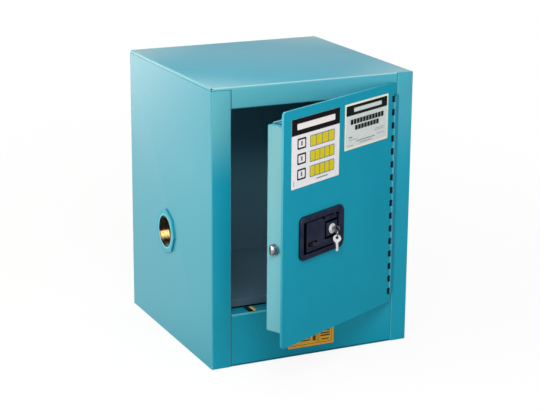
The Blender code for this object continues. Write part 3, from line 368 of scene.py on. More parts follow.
# The door pan's open corner bend: painted shade as a dark slot across its top, and a painted highlight
# as a pale rim on the raised lip
panShadeAndHighlight = {"slotAcross": (-0.3290, -0.3195), "slotDepths": (0.0040, 0.0425), "soft": 0.0004,
            "slotFacing": (0.5, 0.7), "slotDrops": (0.0042, 0.0032), "rimDrops": (0.0016, 0.0013),
            "rimHighlightColor": (0.42, 0.68, 0.68)}


def paintPanShadeAndHighlight(tree, color, own):
    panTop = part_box("door_pan")[1].z
    height = apartXYZ(tree, own["Object"])["Z"]
    inPlane = inDoor(tree, own["Object"])
    across = [doorStance["pinX"] + limit for limit in panShadeAndHighlight["slotAcross"]]
    depths = [doorStance["pinY"] + limit for limit in panShadeAndHighlight["slotDepths"]]
    # painted shade in the slot across the pan's top
    slot = product(tree, bandMask(tree, inPlane["X"], *across, panShadeAndHighlight["soft"]),
                   bandMask(tree, inPlane["Y"], *depths, panShadeAndHighlight["soft"]),
                   ramp(tree, apartXYZ(tree, own["Normal"])["Z"], *panShadeAndHighlight["slotFacing"]),
                   ramp(tree, height, *(panTop - drop for drop in panShadeAndHighlight["slotDrops"])))
    color = blendColor(tree, slot, color, frameShade["gapShadeColor"])
    # painted highlight: a pale rim on the raised lip
    rim = ramp(tree, height, *(panTop - drop for drop in panShadeAndHighlight["rimDrops"]))
    return blendColor(tree, rim, color, panShadeAndHighlight["rimHighlightColor"])


# The vent flange: a painted highlight as a pale rim round its bore, and painted shade darkening the
# bore, with a painted reflection on the brass showing through
ventLow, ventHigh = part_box("left_vent_ring")
boreLightAndShade = {"radius": 0.0328, "soft": 0.0002, "shift": 0.0013, "brass": (0.52, 0.34, 0.11),
             "brassSoft": 0.002, "rimHighlightColor": (0.170, 0.600, 0.680), "rimPale": 0.55,
             "rimReach": (0.0042, 0.0022)}


def paintBoreLightAndShade(tree, color, own):
    radius, soft = boreLightAndShade["radius"], boreLightAndShade["brassSoft"]
    middle = (ventLow + ventHigh) / 2
    apart = apartXYZ(tree, own["Object"])
    away = farFrom(tree, own["Object"], (0.0, middle.y - boreLightAndShade["shift"], middle.z), (0.0, 1.0, 1.0))
    # painted highlight: a pale rim round the bore
    rim = ramp(tree, away, *(radius + reach for reach in boreLightAndShade["rimReach"]))
    color = blendColor(tree, product(tree, rim, boreLightAndShade["rimPale"]), color, boreLightAndShade["rimHighlightColor"])
    # painted reflection on the brass seen in the bore, painted shade elsewhere in it
    lit = product(tree, bandMask(tree, apart["Z"], *ventBrassLook["glintLevels"],
                                 ventBrassLook["levelSoft"]),
                  ramp(tree, apart["Y"], middle.y - soft, middle.y + soft))
    return blendColor(tree, ramp(tree, away, radius + boreLightAndShade["soft"], radius), color,
                      blendColor(tree, lit, frameShade["gapShadeColor"], boreLightAndShade["brass"]))


# Black moulded plastic with a fine spark-eroded grain
plasticLook = {
    "color": (0.0080, 0.0105, 0.0270), "paleColor": (0.0280, 0.0360, 0.0720),
    "roughness": (0.40, 0.55), "sheenScale": 300.0, "ior": 1.46, "specular": 0.26,
    "grainScale": 2600.0, "grainDepth": 0.00005, "grainStrength": 0.5,
    # rubbed edges, dust, and painted shade in the gaps and recesses
    "edgeRadius": 0.0007, "edgeLimits": (0.80, 0.995), "dustScale": 45.0, "dustMost": 0.6,
    "gapShadeColor": (0.0005, 0.0005, 0.0007), "gapShadeReach": 0.011, "gapShadeLimits": (0.72, 0.46),
    "gapShadeDepths": (-0.0043, -0.0031),
}


def mouldedPlastic(name, values):
    finish, tree, shader = startFinish(name)
    spot = addNode(tree, "ShaderNodeTexCoord").outputs["Object"]
    rounded = softEdge(tree, values["edgeRadius"])
    rubbed = edgeMask(tree, rounded, *values["edgeLimits"])
    dust = spread(tree, grain(tree, spot, values["dustScale"], detail=5.0), 0.0, values["dustMost"])
    color = blendColor(tree, combine(tree, "MAXIMUM", rubbed, dust), values["color"],
                       values["paleColor"])
    # painted shade: black in tight gaps and where the part sinks back behind the door's front
    depth = inDoor(tree, spot)["Y"]
    recessShade = ramp(tree, depth, *(doorStance["pinY"] + level for level in values["gapShadeDepths"]))
    gap = combine(tree, "MAXIMUM", creaseShadeMask(tree, values["gapShadeReach"], values["gapShadeLimits"]), recessShade)
    tree.links.new(blendColor(tree, gap, color, values["gapShadeColor"]), shader.inputs["Base Color"])
    tree.links.new(spread(tree, grain(tree, spot, values["sheenScale"]), *values["roughness"]),
                   shader.inputs["Roughness"])
    fine = bump(tree, grain(tree, spot, values["grainScale"], detail=1.0), values["grainDepth"],
                values["grainStrength"], rounded)
    tree.links.new(fine, shader.inputs["Normal"])
    shader.inputs["IOR"].default_value = values["ior"]
    shader.inputs["Specular IOR Level"].default_value = values["specular"]
    return finish


def workedMetal(name, values):
    finish, tree, shader = startFinish(name)
    spot = addNode(tree, "ShaderNodeTexCoord").outputs["Object"]
    rounded = softEdge(tree, values["edgeRadius"])
    dulled = grain(tree, spot, metalWear["tarnishScale"], detail=5.0, roughness=0.65)
    tarnish = spread(tree, dulled, 0.0, 1.0, *metalWear["tarnishLimits"])
    color = blendColor(tree, tarnish, values["color"], values["dullColor"])
    # painted shade in the vent bore, dark in patches, with a band of painted reflection on the brass
    if "boreShadeColor" in values:
        place = apartXYZ(tree, spot)
        wobble = spread(tree, grain(tree, spot, values["wobbleScale"]), -values["glintWobble"],
                        values["glintWobble"])
        level = combine(tree, "ADD", place["Z"], wobble)
        out = addNode(tree, "ShaderNodeMath", {0: place["X"]}, operation="ABSOLUTE").outputs[0]
        reach = abs(ventLow.x) - values["glintDepth"]    # painted reflection on the brass from here outwards
        glint = product(tree, bandMask(tree, level, *values["glintLevels"], values["levelSoft"]),
                        ramp(tree, out, reach - values["depthSoft"], reach + values["depthSoft"]))
        flakes = grain(tree, spot, values["boreShadeScale"], detail=4.0)
        patch = spread(tree, flakes, 0.0, 1.0, *values["boreShadeLimits"])
        boreShade = blendColor(tree, product(tree, patch, values["boreShadePatchAmount"]), values["boreShadeColor"],
                          values["boreShadePatchColor"])
        color = blendColor(tree, glint, boreShade, color)
    tree.links.new(color, shader.inputs["Base Color"])
    shader.inputs["Metallic"].default_value = values.get("metallic", 1.0)
    stretched = addNode(tree, "ShaderNodeMapping", {"Vector": spot, "Scale": values["lines"]})
    drawn = grain(tree, stretched.outputs["Vector"], scale=1.0, detail=2.0)
    tree.links.new(spread(tree, drawn, *values["roughness"]), shader.inputs["Roughness"])
    tree.links.new(bump(tree, drawn, values["lineDepth"], metalWear["lineStrength"], rounded),
                   shader.inputs["Normal"])
    return finish


# Vinyl stickers and their inks
inkColors = {
    "stickerWhite": (0.78, 0.74, 0.75),
    "stickerPanel": (0.72, 0.73, 0.77),
    "stickerCream": (0.78, 0.75, 0.66),
    "stickerSilver": (0.60, 0.64, 0.63),
    "stickerAmber": (0.86, 0.40, 0.035),
    "inkBlack": (0.006, 0.004, 0.006),
    "inkGreenBlack": (0.003, 0.010, 0.009),
    "inkYellow": (0.62, 0.52, 0.010),
    "inkGrey": (0.17, 0.18, 0.20),
    "inkPale": (0.30, 0.34, 0.38),
    "inkUmber": (0.110, 0.058, 0.014),
    # painted shadow: the sill label's brown and gold inks are darkened for the door's shadow that falls
    # on it
    "inkBrown": (0.24, 0.085, 0.014),
    "inkGold": (0.76, 0.41, 0.040),
    "inkSand": (0.88, 0.60, 0.150),
}
inkLook = {"mottle": 0.13, "mottleLift": 0.003, "mottleScale": 240.0, "roughness": (0.42, 0.58),
           "sheenScale": 60.0, "filmScale": 500.0, "filmDepth": 0.00004, "filmStrength": 0.25,
           "ior": 1.48, "specular": 0.14, "lift": 0.00006}


def printedFilm(name, color, values):
    finish, tree, shader = startFinish(name)
    spot = addNode(tree, "ShaderNodeTexCoord").outputs["Object"]
    faded = tuple(part * (1.0 - values["mottle"]) + values["mottleLift"] for part in color)
    amount = spread(tree, grain(tree, spot, values["mottleScale"], detail=4.0), 0.0, 1.0)
    tree.links.new(blendColor(tree, amount, color, faded), shader.inputs["Base Color"])
    tree.links.new(spread(tree, grain(tree, spot, values["sheenScale"]), *values["roughness"]),
                   shader.inputs["Roughness"])
    film = grain(tree, spot, values["filmScale"], detail=2.0)
    tree.links.new(bump(tree, film, values["filmDepth"], values["filmStrength"]),
                   shader.inputs["Normal"])
    shader.inputs["IOR"].default_value = values["ior"]
    shader.inputs["Specular IOR Level"].default_value = values["specular"]
    return finish


tealCoat = powderCoat("tealPowderCoat", {**coatLook, "topLightAmount": 0.9, "leftLightAmount": 0.9}, shadeFrame)
lidCoat = powderCoat("lidPowderCoat", {**coatLook, "topLightAmount": 0.9, "bendHighlightAmount": 0.62,
                                       "bendHighlightColor": (0.55, 0.66, 0.61)}, shadeFrame)
doorCoat = powderCoat("doorPowderCoat", {**coatLook, "turnDegrees": doorStance["openDegrees"],
                                         "bendHighlightAmount": 0.35})
# painted light: the pan's left faces paler than the teal, most of all low down
panCoat = powderCoat("panPowderCoat", {**coatLook, "turnDegrees": doorStance["openDegrees"],
                                       "bendHighlightAmount": 0.45, "leftLightAmount": 1.0,
                                       "leftLightTopColor": (0.098, 0.300, 0.350),
                                       "leftLightLowColor": (0.112, 0.365, 0.445),
                                       "leftLightLevels": (0.48, 0.18)}, paintPanShadeAndHighlight)
# painted shadow: the frame leaf's coat is a darker copy of the teal
shadedLeafCoat = powderCoat("shadedLeafPowderCoat", {**coatLook, "color": (0.0010, 0.190, 0.290),
                                         "cloudColor": (0.0015, 0.205, 0.310)}, shadeLeaf)
# painted light: the inside's coat is a paler, greyer copy of the teal, paler again towards its top
linerCoat = powderCoat("linerPowderCoat", {**coatLook, "color": (0.112, 0.212, 0.285),
                                           "cloudColor": (0.124, 0.230, 0.305), "bendHighlightAmount": 0.2,
                                           "topLightAmount": 1.0, "topLightColor": (0.185, 0.450, 0.570),
                                           "topLightLevels": (0.08, 0.34)})
ventCoat = powderCoat("ventPowderCoat", {**coatLook, "bendHighlightAmount": 0.0}, paintBoreLightAndShade)
blackPlastic = mouldedPlastic("blackMouldedPlastic", plasticLook)
brightPlate = workedMetal("brightPlate", brightLook)
boltSteel = workedMetal("boltSteel", boltLook)
brassMetal = workedMetal("satinBrass", brassLook)
ventBrass = workedMetal("shadedBoreBrass", ventBrassLook)
bareSteel = workedMetal("zincSteel", bareLook)
# the hinge pin nearly black
darkPinSteel = workedMetal("darkHingePin", {**boltLook, "color": (0.05, 0.05, 0.055),
                                      "dullColor": (0.02, 0.02, 0.024)})
inks = {name: printedFilm(name, color, inkLook) for name, color in inkColors.items()}
print("finishes made:", len(bpy.data.materials))

# Each solid's finish, also of those that finer pieces replace further down
finishOf = [
    (tealCoat, ["left_side_panel", "right_side_panel", "back_panel", "base_panel", "sill_rail"]),
    (lidCoat, ["top_panel"]),
    (linerCoat, ["liner_left", "liner_right", "liner_top", "liner_back", "liner_floor", "shelf"]),
    (doorCoat, ["door_skin", "hinge_door_leaf"]),
    (shadedLeafCoat, ["hinge_frame_leaf"]),
    (panCoat, ["door_pan"]),
    (ventCoat, ["left_vent_flange", "right_vent_flange"]),
    (blackPlastic, ["handle_bezel", "paddle", "lock_block"]),
    (brightPlate, ["lock_body", "lock_plug", "lock_cam", "door_key", "spare_key", "key_ring"]),
    (boltSteel, ["latch_bolt", "padlock_staple", "bolt_guide"]),
    (darkPinSteel, ["hinge_pin"]),
    (brassMetal, ["left_vent_ring", "right_vent_ring", "left_flame_screen", "right_flame_screen",
                  "right_vent_cap", "ground_screw"]),
    (bareSteel, ["shelf_bracket_front_left", "shelf_bracket_front_right", "shelf_bracket_rear_left",
                 "shelf_bracket_rear_right", "strike_plate", "latch_lever", "lever_post",
                 "rod_bracket", "paddle_pin_upper", "paddle_pin_lower"]),
    (inks["stickerWhite"], ["door_label"]),
    (inks["stickerCream"], ["door_plate"]),
    (inks["stickerAmber"], ["sill_label"]),
    (inks["inkBlack"], ["sill_tag"]),
]


# Rounds the look of bent sheet without touching the solids: joined faces, smooth up to an angle
def softShading(angleDegrees, weld=0.000002):
    group = bpy.data.node_groups.new("softShading", "GeometryNodeTree")
    group.interface.new_socket(name="Geometry", in_out="INPUT", socket_type="NodeSocketGeometry")
    group.interface.new_socket(name="Geometry", in_out="OUTPUT", socket_type="NodeSocketGeometry")
    entry = addNode(group, "NodeGroupInput")
    leave = addNode(group, "NodeGroupOutput")
    welded = addNode(group, "GeometryNodeMergeByDistance", {"Geometry": entry.outputs[0],
                                                            "Distance": weld})
    angle = addNode(group, "GeometryNodeInputMeshEdgeAngle").outputs["Unsigned Angle"]
    sharp = addNode(group, "FunctionNodeCompare", {0: angle, 1: math.radians(angleDegrees)},
                    data_type="FLOAT", operation="GREATER_THAN").outputs[0]
    shaded = addNode(group, "GeometryNodeSetMeshNormal", {"Mesh": welded.outputs[0],
                                                          "Remove Custom": True,
                                                          "Edge Sharpness": sharp}, mode="SHARPNESS")
    group.links.new(shaded.outputs[0], leave.inputs[0])
    return group


shading = softShading(angleDegrees=33.0)
for finish, members in finishOf:
    for member in members:
        for slot in nodes[member].material_slots:
            slot.material = finish
        nodes[member].modifiers.new("softShading", "NODES").node_group = shading
print("solids dressed:", sum(len(members) for _, members in finishOf))


# New pieces
def addPiece(name, bm, finishes, body, place=None, sharpDegrees=35.0):
    bmesh.ops.recalc_face_normals(bm, faces=bm.faces)
    mesh = meshFrom(name, bm)
    for finish in finishes:
        mesh.materials.append(finish)
    mesh.shade_smooth()
    mesh.set_sharp_from_angle(angle=math.radians(sharpDegrees))
    item = linkPiece(name, mesh)
    if place is not None:
        item.matrix_world = place
    bpy.context.view_layer.update()
    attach(item, body)
    return item


def roundedBar(left, bottom, right, top, radius, steps=4):
    points = []
    for cx, cy, start in ((right - radius, top - radius, 0), (left + radius, top - radius, 90),
                          (left + radius, bottom + radius, 180), (right - radius, bottom + radius, 270)):
        for k in range(steps + 1):
            angle = math.radians(start + 90 * k / steps)
            points.append((cx + radius * math.cos(angle), cy + radius * math.sin(angle)))
    return points


def bridge(bm, first, second):    # a band of faces between two loops of as many points
    count = len(first)
    return [bm.faces.new((first[k], first[(k + 1) % count], second[(k + 1) % count], second[k]))
            for k in range(count)]


def raiseOutline(bm, points, base, lift, materialIndex=0):    # a flat outline given thickness
    low = [bm.verts.new((x, y, base)) for x, y in points]
    high = [bm.verts.new((x, y, base + lift)) for x, y in points]
    for face in [bm.faces.new(high), bm.faces.new(low[::-1]), *bridge(bm, low, high)]:
        face.material_index = materialIndex


# Each bar: left, bottom, right, top as parts of the sticker, corner in mm, ink
def blockRow(left, bottom, right, top, count, corner, ink, gap=0.014):    # a row of plain blocks
    wide = (right - left - gap * (count - 1)) / count
    return [(left + k * (wide + gap), bottom, left + k * (wide + gap) + wide, top, corner, ink)
            for k in range(count)]


markShape = {"left": 0.115, "right": 0.295, "height": 0.160, "frame": (0.023, 0.025), "stemHalf": 0.017,
             "stemEnds": (0.050, 0.045), "corners": (2.6, 1.9, 0.8)}


def outlinedMark(bottom, values):    # a dark frame, its pale field and a short grey stem
    left, right, top = values["left"], values["right"], bottom + values["height"]
    (across, up), (foot, head), middle = values["frame"], values["stemEnds"], (left + right) / 2
    outer, inner, stem = values["corners"]
    return [(left, bottom, right, top, outer, "inkBlack"),
            (left + across, bottom + up, right - across, top - up, inner, "stickerWhite"),
            (middle - values["stemHalf"], bottom + foot, middle + values["stemHalf"], top - head, stem,
             "inkGrey")]


markFrames, markFields, markStems = zip(*(outlinedMark(low, markShape) for low in (0.555, 0.335, 0.112)))
doorLabelPrint = {
    "left": -0.332, "bottom": 0.392, "width": 0.147, "height": 0.131, "face": -0.0023,
    "base": [
        (0.000, 0.765, 1.000, 1.000, 0.9, "inkBlack"),
        (0.085, 0.030, 0.965, 0.745, 0.8, "stickerPanel"),
        (0.040, 0.040, 0.055, 0.120, 0.4, "inkPale"),
    ],
    "bars": [
        *[(0.375, low - 0.012, 0.895, low + 0.157, 2.4, "inkGrey") for low in (0.555, 0.335, 0.115)],
        *markFrames,
        (0.520, 0.052, 0.760, 0.068, 0.5, "inkGrey"),
        (0.110, 0.838, 0.900, 0.925, 1.6, "stickerWhite"),
    ],
    "over": [
        *blockRow(0.387, 0.555, 0.883, 0.700, 4, 1.4, "inkYellow"),
        *blockRow(0.387, 0.335, 0.883, 0.480, 5, 1.4, "inkYellow"),
        *blockRow(0.387, 0.115, 0.883, 0.260, 5, 1.4, "inkYellow"),
        *markFields,
    ],
    "top": markStems,
}
doorPlatePrint = {
    "left": -0.168, "bottom": 0.434, "width": 0.1435, "height": 0.0895, "face": -0.0023,
    "base": [
        (0.030, 0.045, 0.970, 0.955, 2.4, "stickerSilver"),
    ],
    "bars": [
        (0.030, 0.735, 0.970, 0.955, 2.4, "inkGreenBlack"),
        *blockRow(0.130, 0.535, 0.890, 0.645, 11, 0.5, "inkGreenBlack", 0.009),
        *blockRow(0.230, 0.400, 0.780, 0.505, 8, 0.5, "inkGreenBlack", 0.009),
        (0.700, 0.300, 0.900, 0.315, 0.4, "inkPale"),
        (0.680, 0.265, 0.900, 0.280, 0.4, "inkPale"),
        (0.090, 0.250, 0.170, 0.275, 0.4, "inkGrey"),
        (0.090, 0.195, 0.280, 0.210, 0.4, "inkPale"),
        *blockRow(0.270, 0.140, 0.690, 0.165, 12, 0.3, "inkGrey", 0.008),
        *blockRow(0.340, 0.090, 0.620, 0.110, 9, 0.3, "inkGrey", 0.008),
        (0.730, 0.175, 0.910, 0.190, 0.4, "inkPale"),
        (0.060, 0.075, 0.200, 0.090, 0.4, "inkPale"),
    ],
    "over": [
        (0.200, 0.800, 0.840, 0.888, 1.4, "stickerSilver"),
    ],
}
sillLabelPrint = {
    "left": -0.051, "bottom": 0.017, "width": 0.101, "height": 0.050, "face": -0.2161,
    "bars": [
        (0.045, 0.085, 0.640, 0.915, 1.0, "inkBrown"),
        (0.665, 0.085, 0.955, 0.915, 1.0, "inkBrown"),
    ],
    "over": [
        (0.055, 0.105, 0.630, 0.895, 0.9, "inkGold"),
        (0.675, 0.105, 0.945, 0.895, 0.9, "inkGold"),
    ],
    "top": [
        (0.090, 0.740, 0.400, 0.830, 0.5, "inkUmber"),
        *[(0.090, low, 0.500, low + 0.055, 0.4, "inkUmber") for low in (0.630, 0.530, 0.430)],
        *[(0.090, low, 0.480, low + 0.050, 0.4, "inkUmber") for low in (0.335, 0.240)],
        (0.535, 0.210, 0.600, 0.780, 0.6, "inkUmber"),
        *[(0.705, low, 0.915, low + 0.062, 0.4, "inkUmber")
          for low in (0.760, 0.655, 0.550, 0.445, 0.340)],
        (0.725, 0.190, 0.890, 0.240, 0.4, "inkUmber"),
    ],
}
sillTagPrint = {
    "left": -0.135, "bottom": -0.211, "width": 0.018, "height": 0.027, "face": 0.1077,
    "bars": [
        (0.600, 0.030, 0.975, 0.970, 0.8, "inkSand"),
        (0.110, 0.640, 0.500, 0.690, 0.3, "inkUmber"),
        (0.110, 0.480, 0.500, 0.530, 0.3, "inkUmber"),
    ],
}


def printSticker(name, values, body, place):
    bm = bmesh.new()
    usedInks = []
    for layerCount, layer in enumerate(("base", "bars", "over", "top"), 1):
        for left, bottom, right, top, corner, ink in values.get(layer, []):
            if ink not in usedInks:
                usedInks.append(ink)
            points = roundedBar(values["left"] + left * values["width"],
                                values["bottom"] + bottom * values["height"],
                                values["left"] + right * values["width"],
                                values["bottom"] + top * values["height"], corner / 1000)
            raiseOutline(bm, points, 0.0, inkLook["lift"] * layerCount, usedInks.index(ink))
    addPiece(name, bm, [inks[ink] for ink in usedInks], body, place)


def standing(face):    # sticker plane upright: across, up, towards the viewer
    return Matrix(((1, 0, 0, 0), (0, 0, -1, face), (0, 1, 0, 0), (0, 0, 0, 1)))


printSticker("doorLabelInk", doorLabelPrint, "door",
             doorPlace @ standing(doorLabelPrint["face"]))
printSticker("doorPlateInk", doorPlatePrint, "door",
             doorPlace @ standing(doorPlatePrint["face"]))
printSticker("sillLabelInk", sillLabelPrint, "cabinet", standing(sillLabelPrint["face"]))
printSticker("sillTagInk", sillTagPrint, "cabinet",
             Matrix.Translation((0, 0, sillTagPrint["face"])))
print("stickers printed")


# Cuts shapes out of a piece for good
def carve(item, cutters, sharpDegrees=35.0):
    for bm in cutters:
        bmesh.ops.recalc_face_normals(bm, faces=bm.faces)
        tool = linkPiece("carver", meshFrom("carver", bm))
        tool.matrix_world = item.matrix_world
        step = item.modifiers.new("carve", "BOOLEAN")
        step.operation, step.solver, step.object = "DIFFERENCE", "EXACT", tool
        bpy.context.view_layer.update()
        evaluated = item.evaluated_get(bpy.context.evaluated_depsgraph_get())
        shaped = bpy.data.meshes.new_from_object(evaluated)
        item.modifiers.clear()
        item.data = shaped
        bpy.data.objects.remove(tool, do_unlink=True)
    item.data.shade_smooth()
    item.data.set_sharp_from_angle(angle=math.radians(sharpDegrees))


def slabOf(points, low, high):    # an outline in the first two axes, from low to high in the third
    bm = bmesh.new()
    raiseOutline(bm, points, low, high - low)
    return bm


def discPoints(x, y, radius, sides=28):
    return [(x + radius * math.cos(math.tau * k / sides), y + radius * math.sin(math.tau * k / sides))
            for k in range(sides)]


# Keys: stamped bow with a raised rim, a grooved blade and its cuts
keyShape = {
    "bowRadius": 0.0076, "neck": 0.0008, "bladeHalf": 0.0026, "bladeLength": 0.0165,
    "thickness": 0.0020, "holeRadius": 0.0028, "holeInset": 0.0058, "dishRadius": 0.0062,
    "dishDepth": 0.00028, "grooveHalf": 0.0007, "grooveDepth": 0.00045, "grooveDrop": 0.0010,
    "grooveEnds": (-0.0005, 0.003), "grooveRound": 0.0005, "edge": 0.00022, "edgeDegrees": 40.0,
    "tipSlope": 0.0014, "tipShares": (-0.3, 0.25), "shoulder": 0.0006,
    "cuts": [(0.0148, 0.0024), (0.0139, 0.0015), (0.0129, 0.0015), (0.0120, 0.0022), (0.0111, 0.0010),
             (0.0101, 0.0010), (0.0091, 0.0021), (0.0082, 0.0016), (0.0072, 0.0016), (0.0063, 0.0023),
             (0.0053, 0.0013), (0.0043, 0.0013), (0.0032, 0.0025)],
}


def keyOutline(values, steps=36):
    half, radius, tip = values["bladeHalf"], values["bowRadius"], values["bladeLength"]
    centre = -values["neck"] - radius
    meet = math.asin(half / radius)
    points = [(tip - values["tipSlope"], -half), *((tip, half * share) for share in values["tipShares"]),
              *values["cuts"], (values["shoulder"], half)]
    for k in range(steps + 1):
        angle = meet + (math.tau - 2 * meet) * k / steps
        points.append((centre + radius * math.cos(angle), radius * math.sin(angle)))
    return points


def holeAlong(values):    # from the shoulder back to the hole in the bow
    return -values["neck"] - 2 * values["bowRadius"] + values["holeInset"]


def makeKey(name, values, finish, body, replaced, place):
    half = values["thickness"] / 2
    item = addPiece(name, slabOf(keyOutline(values), -half, half), [finish], body,
                    place)
    dish = discPoints(-values["neck"] - values["bowRadius"], 0.0, values["dishRadius"], 40)
    start, past = values["grooveEnds"]
    bladeLine = roundedBar(start, -values["grooveHalf"] - values["grooveDrop"],
                           values["bladeLength"] + past, values["grooveHalf"] - values["grooveDrop"],
                           values["grooveRound"])
    carve(item, [*(slabOf(outline, face - deep, face + deep)
                   for outline, deep in ((dish, values["dishDepth"]), (bladeLine, values["grooveDepth"]))
                   for face in (half, -half)),
                 slabOf(discPoints(holeAlong(values), 0.0, values["holeRadius"]), -half * 2, half * 2)])
    edge = item.modifiers.new("softEdge", "BEVEL")
    edge.width, edge.segments, edge.limit_method = values["edge"], 2, "ANGLE"
    edge.angle_limit = math.radians(values["edgeDegrees"])
    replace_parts(item, replaced)


lockPlace = {"fromHinge": 0.2085, "level": 0.2925, "plugFront": -0.0076, "gap": 0.0003}
keyFace = lockPlace["plugFront"] - lockPlace["gap"]
# key's own axes: along the blade, across it, through its thickness
inLock = Matrix(((0, 0, 1, -lockPlace["fromHinge"]), (1, 0, 0, keyFace), (0, 1, 0, lockPlace["level"]),
                 (0, 0, 0, 1)))
# painted shade: the key in the lock takes the darker bolt steel, though it is the same metal as the
# bright spare
makeKey("lockKey", keyShape, boltSteel, "key", "door_key", doorPlace @ inLock)
ringShape = {"radius": 0.0070, "wire": 0.00044, "solidWire": 0.0006, "hangGap": 0.0011, "turns": 2,
             "sides": 96, "wireSides": 10, "yawDegrees": 45.0, "pitch": 0.00090, "stepSteepness": 8}
hang = keyShape["holeRadius"] - ringShape["solidWire"] - ringShape["hangGap"]
keyHoleY = keyFace + holeAlong(keyShape)
ringCentre = lockPlace["level"] - hang - ringShape["radius"]
spareHole = ringCentre - ringShape["radius"] - hang
lean = math.radians(ringShape["yawDegrees"])
hangingDown = Matrix(((0, -math.sin(lean), math.cos(lean), -lockPlace["fromHinge"]),
                      (0, math.cos(lean), math.sin(lean), keyHoleY),
                      (-1, 0, 0, spareHole + holeAlong(keyShape)), (0, 0, 0, 1)))
makeKey("spareKey", keyShape, brightPlate, "spare", "spare_key", doorPlace @ hangingDown)


def closeWire(bm, loops):    # skin and two ends
    for first, second in zip(loops, loops[1:]):
        bridge(bm, first, second)
    bm.faces.new(loops[0])
    bm.faces.new(loops[-1][::-1])


def splitRing(values, place):    # two turns of wire side by side, with one step over between them
    bm = bmesh.new()
    loops = []
    count = values["sides"] * values["turns"]
    for k in range(count + 1):
        turn = math.tau * k / values["sides"]
        shift = min(max((k / count - 0.5) * values["stepSteepness"], -0.5), 0.5) * values["pitch"]
        out = Vector((math.cos(turn), 0.0, math.sin(turn)))
        middle = out * values["radius"] + Vector((0.0, shift, 0.0))
        loop = []
        for j in range(values["wireSides"]):
            angle = math.tau * j / values["wireSides"]
            loop.append(bm.verts.new(middle + out * values["wire"] * math.cos(angle)
                                     + Vector((0.0, values["wire"] * math.sin(angle), 0.0))))
        loops.append(loop)
    closeWire(bm, loops)
    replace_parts(addPiece("splitRing", bm, [boltSteel], "ring", place), "key_ring")


splitRing(ringShape, doorPlace @ Matrix.Translation((-lockPlace["fromHinge"], keyHoleY, ringCentre))
          @ Matrix.Rotation(lean, 4, "Z"))
print("keys and ring made")

# Vents: a threaded brass ring and a woven flame screen in each wall
ventShape = {
    "back": 0.017, "level": 0.2195, "outerRadius": 0.0307, "boreRadius": 0.0275, "threadDepth": 0.0011,
    "pitch": 0.0022, "sides": 96, "rowsPerPitch": 4, "lead": 0.0014,
}
screenShape = {"radius": 0.0270, "rim": 0.0022, "rimSides": 72, "chamfer": 0.0003, "lip": 0.0004,
               "gripShare": 0.6, "wirePitch": 0.00135, "wire": 0.00021, "sway": 0.00020,
               "step": 0.000675}


def ventLoop(bm, x, radii, vent):    # one radius for each point of the loop
    loop = []
    for k, radius in enumerate(radii):
        angle = math.tau * k / len(radii)
        loop.append(bm.verts.new((x, vent["back"] + radius * math.cos(angle),
                                  vent["level"] + radius * math.sin(angle))))
    return loop


def placeVentPiece(name, bm, loops, replaced):    # loops run round the section and close on themselves
    for first, second in zip(loops, loops[1:] + loops[:1]):
        bridge(bm, first, second)
    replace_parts(addPiece(name, bm, [ventBrass], "cabinet", sharpDegrees=50.0), replaced)


def threadedRing(name, replaced, values):
    low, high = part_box(replaced)
    rows = int(round((high.x - low.x) / values["pitch"] * values["rowsPerPitch"]))
    bm = bmesh.new()
    loops, sides = [], values["sides"]
    for r in range(rows + 1):
        x = low.x + (high.x - low.x) * r / rows
        edge = min(x - low.x, high.x - x) / values["lead"]
        radii = []
        for k in range(sides):
            share = ((x - low.x) / values["pitch"] + k / sides) % 1.0
            crest = 1.0 - abs(2 * share - 1.0)
            radii.append(values["boreRadius"] + values["threadDepth"] * (1.0 - crest * min(edge, 1.0)))
        loops.append(ventLoop(bm, x, radii, values))
    loops += [ventLoop(bm, x, [values["outerRadius"]] * sides, values) for x in (high.x, low.x)]
    placeVentPiece(name, bm, loops, replaced)


def wovenScreen(name, replaced, values, vent):
    low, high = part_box(replaced)
    middle = (low.x + high.x) / 2
    bm = bmesh.new()
    reach = values["radius"] - values["rim"] * values["gripShare"]
    count = int(reach / values["wirePitch"])
    for across in (0, 1):
        for index in range(-count, count + 1):
            offset = index * values["wirePitch"]
            half = math.sqrt(max(reach * reach - offset * offset, 0.0))
            steps = max(int(2 * half / values["step"]), 2)
            loops = []
            for s in range(steps + 1):
                along = -half + 2 * half * s / steps
                phase = math.pi * (along / values["wirePitch"] + index + across)
                sway = values["sway"] * math.cos(phase)
                loop = []
                for corner in ((1, 0), (0, 1), (-1, 0), (0, -1)):
                    side = offset + values["wire"] * corner[0]
                    lift = middle + sway + values["wire"] * corner[1]
                    y, z = (side, along) if across else (along, side)
                    loop.append(bm.verts.new((lift, y + vent["back"], z + vent["level"])))
                loops.append(loop)
            closeWire(bm, loops)
    outer, inner = values["radius"], values["radius"] - values["rim"]
    cut, lip = values["chamfer"], values["lip"]
    section = ((low.x, outer - cut), (low.x + cut, outer), (high.x - cut, outer), (high.x, outer - cut),
               (high.x, inner + cut), (high.x - lip, inner), (low.x + lip, inner), (low.x, inner + cut))
    rim = [ventLoop(bm, x, [radius] * values["rimSides"], vent) for x, radius in section]
    placeVentPiece(name, bm, rim, replaced)


for side in ("left", "right"):
    threadedRing(side + "VentThread", side + "_vent_ring", ventShape)
for side in ("left", "right"):
    wovenScreen(side + "FlameScreen", side + "_flame_screen", screenShape, ventShape)
print("vents made")

